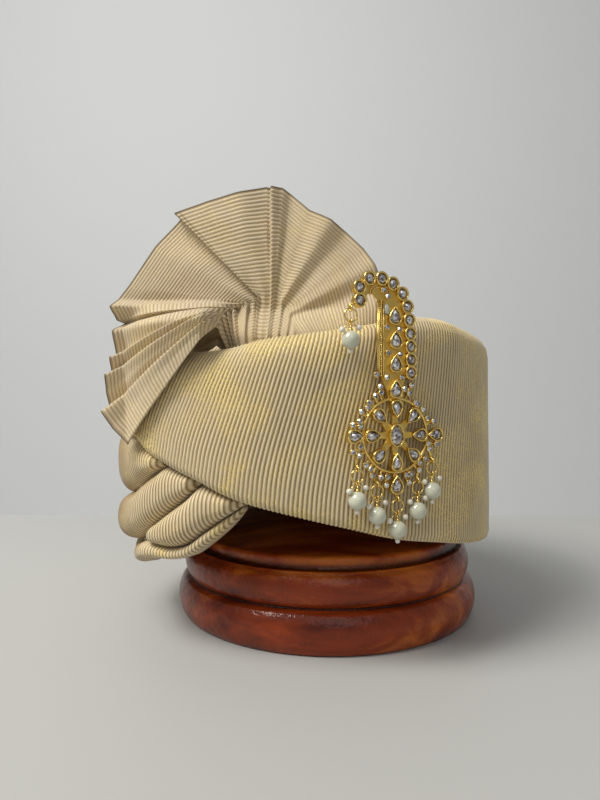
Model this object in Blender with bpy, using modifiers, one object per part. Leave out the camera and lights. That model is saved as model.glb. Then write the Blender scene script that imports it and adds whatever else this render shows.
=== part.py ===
"""Tied turban (pagri) of corded cloth on a turned wooden stand, with a pleated fan and a gold brooch.

Metres, +Z up. The origin is the centre of the stand's flat foot. The display front faces -Y.
Azimuths are in degrees round the turban's oval: 0 looks along -Y, and they grow towards +X.
"""

import math

import bmesh
import bpy
import numpy as np
from mathutils import Matrix, Vector

CLEAR = 0.0003  # gap between pieces that rest on each other
AROUND = 40  # facets round the turban

# The stand
STAND_RADIUS = 0.0907
BASE_HEIGHT = 0.0445  # foot, two half rounds and a bead
TOP_TIER_RISE = 0.0141
TOP_TIER_EDGE = 0.0024  # its rounded edge stands this far above the base's height
POST_RADIUS = 0.021
POST_TOP = 0.1615
HEAD_PLATE_RADIUS = 0.048
HEAD_PLATE_DEPTH = 0.016
STAND_FACETS = 28

# The turban's oval, which sits a little off the stand's axis
TURBAN_X = -0.014
TURBAN_Y = 0.005
FOREHEAD = -18.0  # azimuth of the wearer's forehead
HEAD_LONG = 0.098  # half the head's length
HEAD_WIDE = 0.086  # half the head's width
CAP_WALL = 0.003
CAP_GAP = 0.0005
WRAP_FRONT = 0.0175  # wound cloth over the forehead
WRAP_SIDE = 0.0235  # wound cloth over the ears
TURBAN_HEIGHT = 0.136  # lowest roll to the crown's top
DOME_HEIGHT = 0.048
DOME_POWER = 2.3
FOREHEAD_ARCH = 0.030  # how far the cap's rim rises over the forehead
CAP_RIM_LEVEL = 0.176  # of the turban's height, at the ears
HEM_THICKNESS = 0.007
BAND_SHOULDER = 0.010  # radius of the band's rounded top edge
BAND_LIP = 0.006  # depth of the lip that closes onto the dome
ROLL_SINK = 0.0015  # the rolls' fullest part lies this far inside the band's face
ROLL_GIRTH = 0.020  # height of a roll that is as full as the cloth allows
RIM_TUCK = 0.010  # the rim roll lies this much further in at the side and back
CREASE_DEPTH = 0.011
THINNEST_TIP = 0.0007  # height left where a roll ends under the band

# The fan
GATHER_AZIMUTH = -18.0
FAN_RADIUS = 0.075
FAN_LIFT = 0.0105  # gather above the band's top edge
FAN_ROOT = 0.0135  # how far the gathered root is tucked below the gather
FAN_THICKNESS = 0.0024
PLEAT_DEPTH = 0.0034
FAN_STAND_OFF = 0.0053  # fan's middle surface in front of the band
FAN_SETBACK = 0.0026  # root's middle surface inside the cap's oval
FAN_FORWARD = 0.0844  # spread fan in front of the turban's centre
FAN_LEAN = 0.06  # how far it leans back for each unit of height
FAN_SWEEP = 0.12  # how far its left side comes back for each unit across
FAN_DRAPE_START = 0.035  # it hangs over the band from here leftwards of the turban's centre
FAN_TURN = 0.018  # height in which the root turns forward into the spread fan

# The brooch, laid out in its own plane: u to the right, v up, n out from the band
KALGI_AZIMUTH = 22.2
KALGI_LEVEL = 0.574  # of the turban's height
MEDALLION_RADIUS = 0.0168
STEM_RISE = 0.0560
WIRE = 0.0012
PIN_WIRE = 0.0014
PLATE_BACK = 0.0022
PLATE_THICKNESS = 0.0014
CUP_HEIGHT = 0.0030
STONE_SEAT = 0.0012  # floor of a stone's recess above the plate's back
STONE_HEIGHT = 0.0024
BEZEL = 0.0011
ARM_WIDTH = 0.0024
CLUSTER_SIZE = 0.0062
CENTRE_STONE = (0.0058, 0.0088)  # width and height, as for every stone
PETAL_STONE = (0.0042, 0.0064)
SIDE_STONE = (0.0046, 0.0064)
FOOT_STONE = (0.0050, 0.0068)
STEM_STONE = (0.0048, 0.0066)
RIM_STONE = (0.0042, 0.0045)
PETAL_RING = 0.0121
PEARL_RADIUS = 0.0041
HANG_OFFSET = 0.0046  # plane of the rings and pearls
JUMP_RING_RADIUS = 0.0030
JUMP_RING_WIRE = 0.0004
EYE_RADIUS = 0.0011
EYE_WIRE = 0.00042
PEARL_NECK = 0.0026

# Edges of the wound cloth, a row for each azimuth, as shares of the turban's height above its
# lowest roll: azimuth, the band's hem, the three creases between the rolls, and the lowest edge
HEMS = (
    (-220, 0.120, 0.120, 0.120, 0.120, 0.120),
    (-210, 0.230, 0.230, 0.210, 0.130, 0.090),
    (-200, 0.360, 0.310, 0.170, 0.110, 0.060),
    (-190, 0.460, 0.300, 0.140, 0.100, 0.030),
    (-180, 0.530, 0.290, 0.120, 0.100, 0.015),
    (-150, 0.580, 0.290, 0.115, 0.100, 0.005),
    (-120, 0.600, 0.290, 0.110, 0.100, 0.000),
    (-90, 0.610, 0.290, 0.110, 0.105, 0.000),
    (-75, 0.605, 0.300, 0.115, 0.110, 0.005),
    (-62, 0.590, 0.330, 0.135, 0.130, 0.035),
    (-54, 0.575, 0.355, 0.162, 0.146, 0.065),
    (-48, 0.560, 0.395, 0.200, 0.170, 0.095),
    (-42, 0.510, 0.437, 0.246, 0.170, 0.115),
    (-36, 0.478, 0.472, 0.306, 0.168, 0.123),
    (-31, 0.452, 0.452, 0.353, 0.188, 0.142),
    (-25, 0.423, 0.423, 0.414, 0.244, 0.195),
    (-18, 0.379, 0.379, 0.379, 0.313, 0.276),
    (-13, 0.356, 0.356, 0.356, 0.356, 0.356),
    (-1, 0.313, 0.313, 0.313, 0.313, 0.313),
    (10, 0.273, 0.273, 0.273, 0.273, 0.273),
    (22, 0.226, 0.226, 0.226, 0.226, 0.226),
    (35, 0.193, 0.193, 0.193, 0.193, 0.193),
    (55, 0.143, 0.143, 0.143, 0.143, 0.143),
    (75, 0.118, 0.118, 0.118, 0.118, 0.118),
    (100, 0.110, 0.110, 0.110, 0.110, 0.110),
    (140, 0.120, 0.120, 0.120, 0.120, 0.120),
)

# The rolls: name, columns of HEMS above and below, azimuths of the two ends, share of RIM_TUCK
ROLLS = (
    ("side_roll_upper", 1, 2, -196.0, -37.5, 0.0),
    ("side_roll_middle", 2, 3, -207.0, -26.0, 0.0),
    ("side_roll_lower", 3, 4, -55.0, -14.5, 0.0),
    ("rim_roll", 4, 5, -214.0, -15.5, 1.0),
)

# The band's top edge: azimuth, share of the turban's height
BAND_TOPS = (
    (-220, 0.965),
    (-180, 0.975),
    (-120, 0.955),
    (-85, 0.930),
    (-50, 0.900),
    (-18, 0.880),
    (-10, 0.908),
    (0, 0.926),
    (9, 0.943),
    (17, 0.963),
    (25, 0.990),
    (32, 1.000),
    (39, 0.999),
    (49, 0.983),
    (63, 0.970),
    (90, 0.955),
    (140, 0.965),
)

# The fan's fold lines, from its lowest left edge round to its right edge, as shares of its
# radius from the gather: root across, bend across, bend up, rim across, rim up, and how far
# the fold stands forward as a share of the pleat depth
PLEATS = (
    (-0.035, -0.140, -0.020, -0.78, -0.78, 0.1),
    (-0.025, -0.130, -0.005, -0.87, -0.67, 0.5),
    (-0.015, -0.122, 0.010, -0.95, -0.55, 1.0),
    (0.000, -0.118, 0.038, -0.89, -0.44, -1.0),
    (0.018, -0.110, 0.065, -0.94, -0.31, 1.0),
    (0.036, -0.098, 0.082, -0.88, -0.22, -0.8),
    (0.052, -0.080, 0.100, -0.90, -0.13, 0.9),
    (0.068, -0.045, 0.120, -0.86, -0.04, -0.8),
    (0.082, -0.015, 0.135, -0.90, 0.07, 0.7),
    (0.095, 0.010, 0.150, -0.91, 0.18, 1.0),
    (0.110, 0.026, 0.155, -0.85, 0.24, -0.9),
    (0.125, 0.042, 0.158, -0.79, 0.30, -0.2),
    (0.140, 0.060, 0.165, -0.70, 0.46, 0.2),
    (0.155, 0.080, 0.180, -0.59, 0.61, 0.0),
    (0.170, 0.095, 0.200, -0.49, 0.72, -0.8),
    (0.182, 0.112, 0.210, -0.45, 0.79, 0.9),
    (0.194, 0.140, 0.222, -0.29, 0.88, 0.5),
    (0.204, 0.170, 0.228, -0.10, 0.92, 0.2),
    (0.214, 0.190, 0.232, 0.07, 0.95, -0.5),
    (0.224, 0.210, 0.230, 0.18, 0.96, 1.0),
    (0.236, 0.235, 0.205, 0.26, 0.95, -0.9),
    (0.252, 0.262, 0.180, 0.36, 0.90, 0.8),
    (0.270, 0.288, 0.150, 0.45, 0.82, -0.7),
    (0.288, 0.310, 0.125, 0.57, 0.76, 0.8),
    (0.306, 0.328, 0.102, 0.72, 0.66, -0.1),
    (0.324, 0.342, 0.080, 0.83, 0.53, 0.6),
    (0.340, 0.352, 0.060, 0.93, 0.34, -0.3),
    (0.354, 0.362, 0.035, 0.97, 0.16, 0.3),
    (0.366, 0.372, -0.030, 0.93, -0.06, -0.3),
)

# Middle line of the brooch's stem plate as shares of the stem's rise: across, up, half width
STEM_LINE = (
    (0.000, -0.020, 0.060),
    (-0.008, 0.090, 0.088),
    (-0.018, 0.200, 0.118),
    (-0.018, 0.420, 0.118),
    (-0.020, 0.630, 0.118),
    (-0.038, 0.770, 0.112),
    (-0.105, 0.880, 0.092),
    (-0.205, 0.930, 0.070),
    (-0.285, 0.915, 0.062),
    (-0.330, 0.865, 0.052),
)

# Round stones along the stem's outer edge, shares of the stem's rise: across, up
RIM_STONES = (
    (0.139, 0.215),
    (0.139, 0.325),
    (0.136, 0.435),
    (0.131, 0.545),
    (0.120, 0.660),
    (0.103, 0.772),
    (0.054, 0.878),
    (-0.038, 0.955),
    (-0.145, 0.990),
    (-0.262, 0.985),
    (-0.355, 0.908),
    (-0.350, 0.800),
)

# Drop stones up the stem's middle, shares of the stem's rise: across, up
STEM_DROPS = (
    (-0.008, 0.078),
    (-0.010, 0.292),
    (-0.010, 0.490),
    (-0.018, 0.690),
)

# Small three-stone clusters outside the ring, shares of the medallion's radius: across, up
CLUSTERS = (
    (-0.95, 0.77),
    (-1.22, 0.34),
    (-1.22, -0.43),
    (-0.85, -0.94),
    (-0.36, -1.24),
    (0.42, -1.22),
    (0.85, -0.86),
    (1.17, -0.34),
    (1.14, 0.42),
    (0.78, 0.80),
    (-0.54, 1.20),
    (0.46, 1.24),
)

# Pearl drops, shares of the medallion's radius: the eye that each ring hangs in, across and up,
# then the point of the frame that carries the eye
PEARL_DROPS = (
    (-1.26, -0.86, -1.22, -0.43),
    (-0.60, -1.28, -0.85, -0.94),
    (0.02, -1.77, 0.00, -1.40),
    (0.66, -1.28, 0.85, -0.86),
    (1.16, -0.81, 1.17, -0.34),
    (-1.40, 3.42, -1.17, 3.67),
)


def clear_scene():
    for old in list(bpy.data.objects):
        bpy.data.objects.remove(old, do_unlink=True)


def new_collection(name):
    made = bpy.data.collections.new(name)
    bpy.context.scene.collection.children.link(made)
    return made


def finish_of(name, colour, roughness, metallic=0.0):
    made = bpy.data.materials.new(name)
    made.use_nodes = True
    shader = made.node_tree.nodes["Principled BSDF"]
    shader.inputs["Base Color"].default_value = (*colour, 1.0)
    shader.inputs["Roughness"].default_value = roughness
    shader.inputs["Metallic"].default_value = metallic
    return made


def add_object(name, mesh, finish, collection, smooth_below=math.radians(35)):
    made = bpy.data.objects.new(name, mesh)
    collection.objects.link(made)
    if finish and not mesh.materials:
        mesh.materials.append(finish)
    mesh.shade_smooth()
    mesh.set_sharp_from_angle(angle=smooth_below)
    return made


def loft_mesh(name, rings, joined=False):
    """A closed mesh through rings of equally many points. The ends are capped, or joined to each other."""
    rings = np.asarray(rings, float)
    count, sides = rings.shape[:2]
    work = bmesh.new()
    points = [[work.verts.new(point) for point in ring] for ring in rings]
    for i in range(count if joined else count - 1):
        here = points[i]
        there = points[(i + 1) % count]
        for j in range(sides):
            k = (j + 1) % sides
            work.faces.new((here[j], here[k], there[k], there[j]))
    if not joined:
        work.faces.new(points[0][::-1])
        work.faces.new(points[-1])
    bmesh.ops.recalc_face_normals(work, faces=work.faces)
    if work.calc_volume(signed=True) < 0:
        bmesh.ops.reverse_faces(work, faces=work.faces)
    mesh = bpy.data.meshes.new(name)
    work.to_mesh(mesh)
    work.free()
    return mesh


def between(low, high, share):
    return low + (high - low) * share


def ease(share):
    """0 to 1, leaving and arriving level."""
    share = np.clip(share, 0.0, 1.0)
    return share * share * (3.0 - 2.0 * share)


def read_table(rows, column, azimuth):
    """A smooth curve through one column of a table whose first column rises."""
    table = np.array(rows, float)
    at = table[:, 0]
    value = table[:, column]
    slope = np.gradient(value, at)
    place = np.clip(np.searchsorted(at, azimuth, side="right") - 1, 0, len(at) - 2)
    span = at[place + 1] - at[place]
    t = (azimuth - at[place]) / span
    return (
        (1 + 2 * t) * (1 - t) ** 2 * value[place]
        + t * (1 - t) ** 2 * span * slope[place]
        + t * t * (3 - 2 * t) * value[place + 1]
        + t * t * (t - 1) * span * slope[place + 1]
    )


def oval(azimuth, half_long, half_wide):
    """Distance from the turban's centre to an oval whose long axis points at the forehead."""
    turn = np.radians(azimuth - FOREHEAD)
    return 1.0 / np.sqrt((np.cos(turn) / half_long) ** 2 + (np.sin(turn) / half_wide) ** 2)


def cap_radius(azimuth):
    return oval(azimuth, HEAD_LONG + CAP_WALL, HEAD_WIDE + CAP_WALL)


def body_radius(azimuth):
    return oval(
        azimuth,
        HEAD_LONG + CAP_WALL + CAP_GAP + WRAP_FRONT,
        HEAD_WIDE + CAP_WALL + CAP_GAP + WRAP_SIDE,
    )


def place(azimuth, radius, height):
    """The point at an azimuth round the turban's centre."""
    turn, radius, height = np.broadcast_arrays(np.radians(azimuth), radius, height)
    x = TURBAN_X + radius * np.sin(turn)
    y = TURBAN_Y - radius * np.cos(turn)
    return np.stack([x, y, height], axis=-1)


def dome_drop(share):
    """How far the dome has fallen where its radius is this share of the cap's."""
    share = np.clip(share, 0.0, 1.0)
    return DOME_HEIGHT * (1.0 - (1.0 - share**DOME_POWER) ** (1.0 / DOME_POWER))


def head_plate_drop(radius):
    return HEAD_PLATE_DEPTH * 0.7 * (radius / HEAD_PLATE_RADIUS) ** 2.2


def crown_top():
    """The crown rests on the head plate, wherever on it the dome comes lowest."""
    radius = np.linspace(0.0, HEAD_PLATE_RADIUS, 25)
    off_axis = math.hypot(TURBAN_X, TURBAN_Y)
    fall = dome_drop((radius + off_axis) / HEAD_WIDE) - head_plate_drop(radius)
    return POST_TOP + CLEAR + float(fall.max()) + CAP_WALL


CROWN_TOP = crown_top()
DOME_START = CROWN_TOP - DOME_HEIGHT
LOWEST = CROWN_TOP - TURBAN_HEIGHT


def level(share):
    """The height at a share of the turban's height."""
    return LOWEST + TURBAN_HEIGHT * share


def dome_radius(azimuth, height):
    """The cap's outer radius at a height, straight below the dome."""
    rise = np.clip((height - DOME_START) / DOME_HEIGHT, 0.0, 1.0)
    return cap_radius(azimuth) * (1.0 - rise**DOME_POWER) ** (1.0 / DOME_POWER)


def pocket(azimuth):
    """1 where the band leaves room behind it for the fan's root, 0 elsewhere."""
    return ease((azimuth + 80.0) / 28.0) * ease((60.0 - azimuth) / 28.0)


def wound_azimuths():
    """Azimuths of the wound cloth's shared facets, with the ends of every roll among them."""
    step = 360.0 / AROUND
    ends = np.array([end for row in ROLLS for end in row[3:5]])
    grid = np.arange(AROUND) * step - 220.0 + 0.5 * step
    apart = np.abs(grid[:, None] - ends[None, :]).min(axis=1)
    return np.sort(np.concatenate([grid[apart > 0.3 * step], ends]))


def make_stand(finish, collection):
    tier_edge = BASE_HEIGHT + TOP_TIER_EDGE
    tier_top = tier_edge + TOP_TIER_RISE
    profile = [(0.0, POST_TOP)]
    for share in (0.25, 0.5, 0.72, 0.88, 1.0):
        radius = HEAD_PLATE_RADIUS * share
        profile.append((radius, POST_TOP - head_plate_drop(radius)))
    profile.append((HEAD_PLATE_RADIUS * 0.96, POST_TOP - HEAD_PLATE_DEPTH))
    profile.append((POST_RADIUS * 1.3, POST_TOP - HEAD_PLATE_DEPTH * 1.25))
    profile.append((POST_RADIUS, POST_TOP - HEAD_PLATE_DEPTH * 1.8))
    profile.append((POST_RADIUS, tier_top + 0.25 * TOP_TIER_RISE))
    profile.append((POST_RADIUS * 1.25, tier_top))
    for share in (0.45, 0.75, 1.0):
        radius = 0.852 * STAND_RADIUS * share
        profile.append((radius, tier_edge + TOP_TIER_RISE * (1.0 - share**1.7)))
    profile.append((0.872 * STAND_RADIUS, BASE_HEIGHT))
    profile.append((0.872 * STAND_RADIUS, BASE_HEIGHT * 0.93))
    profile.append((0.889 * STAND_RADIUS, BASE_HEIGHT * 0.876))
    profile.append((0.915 * STAND_RADIUS, BASE_HEIGHT * 0.876))
    middle_low = BASE_HEIGHT * 0.483
    middle_high = BASE_HEIGHT * 0.860
    for share in (0.1, 0.35, 0.6, 0.85):
        bulge = math.sin(math.pi * share) ** 0.6
        radius = STAND_RADIUS * (0.925 + 0.034 * bulge)
        profile.append((radius, between(middle_high, middle_low, share)))
    for share in (0.0, 0.14, 0.32, 0.52, 0.74, 0.92):
        bulge = math.sin(math.pi * min(1.0, 0.08 + share * 0.86)) ** 0.55
        radius = STAND_RADIUS * (0.932 + 0.068 * bulge)
        profile.append((radius, between(middle_low, 0.0, share)))
    profile.append((0.932 * STAND_RADIUS, 0.0))
    profile.append((0.0, 0.0))
    mesh = bpy.data.meshes.new("stand")
    points = [(radius, 0.0, height) for radius, height in profile]
    mesh.from_pydata(points, [(i, i + 1) for i in range(len(points) - 1)], [])
    stand = bpy.data.objects.new("stand", mesh)
    collection.objects.link(stand)
    mesh.materials.append(finish)
    turn = stand.modifiers.new("turned", "SCREW")
    turn.steps = STAND_FACETS
    turn.render_steps = STAND_FACETS
    turn.use_merge_vertices = True
    turn.merge_threshold = 0.00001
    turn.use_smooth_shade = True
    return stand


def cap_rim(azimuth):
    """The cap's rim is level over the ears and arches over the forehead."""
    arch = np.exp(-(((azimuth - FOREHEAD) / 40.0) ** 2))
    return level(CAP_RIM_LEVEL) + FOREHEAD_ARCH * arch


def make_crown_cap(finish, collection):
    """A skullcap: an upright oval wall closed by a flattened dome, thickened inwards."""
    azimuth = np.arange(AROUND) * 360.0 / AROUND - 180.0
    rim = cap_rim(azimuth)
    rings = []
    for share in (0.0, 1.0):
        rings.append(place(azimuth, cap_radius(azimuth), between(rim, DOME_START, share)))
    for angle in (24, 43, 60, 76):
        reach = math.cos(math.radians(angle)) ** (2.0 / DOME_POWER)
        rise = math.sin(math.radians(angle)) ** (2.0 / DOME_POWER)
        height = DOME_START + DOME_HEIGHT * rise
        rings.append(place(azimuth, cap_radius(azimuth) * reach, height))
    work = bmesh.new()
    rows = [[work.verts.new(point) for point in ring] for ring in rings]
    top = work.verts.new((TURBAN_X, TURBAN_Y, CROWN_TOP))
    for lower, upper in zip(rows, rows[1:]):
        for j in range(AROUND):
            k = (j + 1) % AROUND
            work.faces.new((lower[j], lower[k], upper[k], upper[j]))
    for j in range(AROUND):
        work.faces.new((rows[-1][j], rows[-1][(j + 1) % AROUND], top))
    mesh = bpy.data.meshes.new("crown_cap")
    work.to_mesh(mesh)
    work.free()
    cap = add_object("crown_cap", mesh, finish, collection)
    wall = cap.modifiers.new("wall", "SOLIDIFY")
    wall.thickness = CAP_WALL
    wall.offset = -1.0
    return cap


def make_front_band(finish, collection):
    """The broad outer turn, one closed ring with a rounded shoulder at its top and a thin hem."""
    azimuth = wound_azimuths()
    hem = level(read_table(HEMS, 1, azimuth))
    top = level(read_table(BAND_TOPS, 1, azimuth))
    face = body_radius(azimuth)
    inner = cap_radius(azimuth) + CAP_GAP
    room = pocket(azimuth)
    lip = top - BAND_LIP
    seat = np.maximum(cap_rim(azimuth) + 0.57 * HEM_THICKNESS, hem + 1.14 * HEM_THICKNESS)
    loop = [
        place(azimuth, face - 0.5 * HEM_THICKNESS, hem),
        place(azimuth, face - HEM_THICKNESS, hem),
        place(azimuth, inner, seat),
        place(azimuth, inner, DOME_START),
    ]
    for share in (0.35, 0.6, 0.8, 1.0):
        height = between(DOME_START, lip, share)
        hug = dome_radius(azimuth, height) + 3.0 * CAP_GAP
        loop.append(place(azimuth, between(hug, inner, room), height))
    fold = between(between(hug, face, 0.45), inner + 0.57 * HEM_THICKNESS, room)
    loop += [
        place(azimuth, fold, top - 0.1 * BAND_SHOULDER),
        place(azimuth, face - BAND_SHOULDER * 0.75, top),
        place(azimuth, face - BAND_SHOULDER * 0.2, top - BAND_SHOULDER * 0.45),
        place(azimuth, face, top - BAND_SHOULDER * 1.4),
        place(azimuth, face, between(hem, top, 0.45)),
        place(azimuth, face - 0.14 * HEM_THICKNESS, hem + 1.3 * HEM_THICKNESS),
        place(azimuth, face - 0.26 * HEM_THICKNESS, hem + 0.17 * HEM_THICKNESS),
    ]
    mesh = loft_mesh("front_band", np.stack(loop, axis=1), joined=True)
    return add_object("front_band", mesh, finish, collection, math.radians(50))


def make_roll(name, upper_column, lower_column, start, end, tuck, finish, collection):
    """A pillow-like fold of wound cloth between two of the edges, from azimuth start to end."""
    azimuth = wound_azimuths()
    azimuth = azimuth[(azimuth >= start) & (azimuth <= end)]
    hem = level(read_table(HEMS, 1, azimuth))
    high = level(read_table(HEMS, upper_column, azimuth)) - 0.5 * CLEAR
    high = np.minimum(high, hem - CLEAR)
    low = level(read_table(HEMS, lower_column, azimuth)) + 0.5 * CLEAR
    low = np.minimum(low, high - THINNEST_TIP)
    deep = cap_radius(azimuth) + CAP_GAP
    full = body_radius(azimuth) - ROLL_SINK - tuck * RIM_TUCK * ease((-38.0 - azimuth) / 35.0)
    girth = np.minimum(1.0, (high - low) / ROLL_GIRTH)
    crease = full - CREASE_DEPTH * (0.35 + 0.65 * girth)
    crease = np.maximum(crease, deep + ROLL_SINK)
    loop = [place(azimuth, deep, low), place(azimuth, deep, high)]
    for share in (1.0, 0.93, 0.76, 0.5, 0.24, 0.07, 0.0):
        swell = (1.0 - abs(2.0 * share - 1.0) ** 2.6) ** (1.0 / 2.0)
        loop.append(place(azimuth, between(crease, full, swell), between(low, high, share)))
    mesh = loft_mesh(name, np.stack(loop, axis=1))
    return add_object(name, mesh, finish, collection, math.radians(50))


def gather_point():
    turn = math.radians(GATHER_AZIMUTH)
    across = TURBAN_X + cap_radius(GATHER_AZIMUTH) * math.sin(turn)
    up = level(read_table(BAND_TOPS, 1, np.array([GATHER_AZIMUTH])))[0] + FAN_LIFT
    return across, float(up)


def front_depth(across, radius_of, inset):
    """Y of the front of an oval, moved in by inset, at a place across."""
    offset = across - TURBAN_X
    azimuth = np.degrees(np.arcsin(np.clip(offset / (HEAD_LONG + WRAP_FRONT), -0.97, 0.97)))
    for _ in range(3):
        reach = radius_of(azimuth) - inset
        azimuth = np.degrees(np.arcsin(np.clip(offset / reach, -0.97, 0.97)))
    return TURBAN_Y - (radius_of(azimuth) - inset) * np.cos(np.radians(azimuth))


def fan_depth(across, up, gather_up):
    """The fan stands up from behind the band, and its left side hangs forward over the band."""
    tucked = front_depth(across, cap_radius, FAN_SETBACK)
    leftwards = TURBAN_X - across
    spread = TURBAN_Y - FAN_FORWARD + FAN_LEAN * (up - gather_up)
    spread = spread + FAN_SWEEP * np.clip(leftwards - FAN_DRAPE_START + 0.22 * FAN_TURN, 0, None)
    standing = between(tucked, spread, ease((up - gather_up) / FAN_TURN + 0.33))
    over_band = np.minimum(front_depth(across, body_radius, 0.0) - FAN_STAND_OFF, spread)
    forward = ease((leftwards - FAN_DRAPE_START) / (0.72 * FAN_TURN))
    forward = forward * ease((gather_up - up) / (0.89 * FAN_TURN) + 1.0)
    return between(standing, over_band, forward)


def make_turra_fan(finish, collection):
    """The gathered end of the cloth: fold lines fan out from a bend just over the root."""
    gather_across, gather_up = gather_point()
    rows = np.array(PLEATS)
    root = np.stack([rows[:, 0] * FAN_RADIUS, np.full(len(rows), -FAN_ROOT)], axis=1)
    bend = rows[:, 1:3] * FAN_RADIUS
    rim = rows[:, 3:5] * FAN_RADIUS
    forward = rows[:, 5] * PLEAT_DEPTH
    grid = []
    for share in (0.0, 0.5, 0.8):
        grid.append((between(root, bend, share), 0.25 + 0.35 * share))
    for share in (0.0, 0.12, 0.3, 0.52, 0.76, 1.0):
        grid.append((between(bend, rim, share), 0.6 + 0.4 * share))
    work = bmesh.new()
    faces = {}
    for side, offset in (("front", -0.5), ("back", 0.5)):
        faces[side] = []
        for spot, fullness in grid:
            across = gather_across + spot[:, 0]
            up = gather_up + spot[:, 1]
            depth = fan_depth(across, up, gather_up) - forward * fullness + offset * FAN_THICKNESS
            points = np.stack([across, depth, up], axis=1)
            faces[side].append([work.verts.new(point) for point in points])
    last_row = len(grid) - 1
    last_line = len(rows) - 1
    for i in range(last_row):
        for j in range(last_line):
            for side in ("front", "back"):
                f = faces[side]
                quad = (f[i][j], f[i][j + 1], f[i + 1][j + 1], f[i + 1][j])
                work.faces.new(quad if side == "front" else quad[::-1])
    front = faces["front"]
    back = faces["back"]
    for i in range(last_row):
        work.faces.new((front[i][0], front[i + 1][0], back[i + 1][0], back[i][0]))
        work.faces.new((front[i + 1][-1], front[i][-1], back[i][-1], back[i + 1][-1]))
    for j in range(last_line):
        work.faces.new((front[0][j + 1], front[0][j], back[0][j], back[0][j + 1]))
        work.faces.new((front[-1][j], front[-1][j + 1], back[-1][j + 1], back[-1][j]))
    bmesh.ops.recalc_face_normals(work, faces=work.faces)
    if work.calc_volume(signed=True) < 0:
        bmesh.ops.reverse_faces(work, faces=work.faces)
    mesh = bpy.data.meshes.new("turra_fan")
    work.to_mesh(mesh)
    work.free()
    return add_object("turra_fan", mesh, finish, collection, math.radians(40))


def kalgi_place():
    """The brooch's plane touches the band's face at its azimuth: x is u, y is v and z is n."""
    azimuth = math.radians(KALGI_AZIMUTH)
    turn = math.radians(KALGI_AZIMUTH - FOREHEAD)
    half_long = HEAD_LONG + CAP_WALL + CAP_GAP + WRAP_FRONT
    half_wide = HEAD_WIDE + CAP_WALL + CAP_GAP + WRAP_SIDE
    facing = math.atan(math.tan(turn) * (half_long / half_wide) ** 2) + math.radians(FOREHEAD)
    reach = float(body_radius(KALGI_AZIMUTH))
    touch = Vector((TURBAN_X + reach * math.sin(azimuth), TURBAN_Y - reach * math.cos(azimuth), 0.0))
    touch.z = level(KALGI_LEVEL)
    across = Vector((math.cos(facing), math.sin(facing), 0.0))
    out = Vector((math.sin(facing), -math.cos(facing), 0.0))
    up = Vector((0.0, 0.0, 1.0))
    axes = Matrix((across, up, out)).transposed().to_4x4()
    axes.translation = touch
    return axes


def outline(kind, width, height, sides, turn=0.0, centre=(0.0, 0.0)):
    """Points round an oval or a drop. An unturned drop's tip points along -v."""
    t = np.arange(sides) * 2.0 * math.pi / sides
    v = -0.5 * height * np.cos(t)
    u = 0.5 * width * np.sin(t)
    if kind == "drop":
        u = u * np.abs(np.sin(0.5 * t)) / 0.77
    cos, sin = math.cos(turn), math.sin(turn)
    return np.stack([centre[0] + u * cos - v * sin, centre[1] + u * sin + v * cos], axis=1)


def stacked(name, layers):
    """A closed mesh through flat outlines at their heights off the band."""
    rings = [np.column_stack([flat, np.full(len(flat), n)]) for flat, n in layers]
    return loft_mesh(name, rings)


def bar_outline(start, end, width):
    along = np.array(end) - np.array(start)
    side = np.array([-along[1], along[0]]) * 0.5 * width / np.hypot(*along)
    return np.array([start - side, end - side, end + side, start + side])


def hidden(name, mesh, collection, matrix):
    made = bpy.data.objects.new(name, mesh)
    collection.objects.link(made)
    made.matrix_world = matrix
    made.hide_render = True
    made.display_type = "WIRE"
    return made


def torus_mesh(name, radius, wire, around, sides, axis, centre):
    """A wire ring whose hole looks along axis."""
    bpy.ops.mesh.primitive_torus_add(
        major_segments=around, minor_segments=sides, major_radius=radius, minor_radius=wire
    )
    made = bpy.context.object
    mesh = made.data
    bpy.data.objects.remove(made, do_unlink=True)
    mesh.name = name
    turn = Vector((0.0, 0.0, 1.0)).rotation_difference(Vector(axis)).to_matrix().to_4x4()
    mesh.transform(Matrix.Translation(centre) @ turn)
    return mesh


def stone_table():
    """Every set stone: name, kind, width, height, turn, centre, sides."""
    stones = [("centre_stone", "oval", *CENTRE_STONE, 0.0, (0.0, 0.0), 10)]
    for i in range(8):
        angle = math.radians(90.0 - 45.0 * i)
        spot = (PETAL_RING * math.cos(angle), PETAL_RING * math.sin(angle))
        stones.append(("petal_stone_%d" % (i + 1), "drop", *PETAL_STONE, angle - math.pi / 2, spot, 8))
    side = 1.37 * MEDALLION_RADIUS
    stones.append(("side_stone_left", "drop", *SIDE_STONE, math.pi / 2, (-side, 0.0), 8))
    stones.append(("side_stone_right", "drop", *SIDE_STONE, -math.pi / 2, (side, 0.0), 8))
    stones.append(("foot_stone", "drop", *FOOT_STONE, math.pi, (0.0, -1.38 * MEDALLION_RADIUS), 8))
    for i, (across, up) in enumerate(STEM_DROPS):
        spot = (across * STEM_RISE, MEDALLION_RADIUS + up * STEM_RISE)
        stones.append(("stem_drop_%d" % (i + 1), "drop", *STEM_STONE, math.pi, spot, 8))
    for i, (across, up) in enumerate(RIM_STONES):
        spot = (across * STEM_RISE, MEDALLION_RADIUS + up * STEM_RISE)
        stones.append(("rim_stone_%02d" % (i + 1), "oval", *RIM_STONE, 0.0, spot, 8))
    return stones


def eye_spots():
    """For each pearl drop: the eye's centre and the point of the frame that carries it."""
    return [
        (np.array(row[:2]) * MEDALLION_RADIUS, np.array(row[2:]) * MEDALLION_RADIUS)
        for row in PEARL_DROPS
    ]


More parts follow.
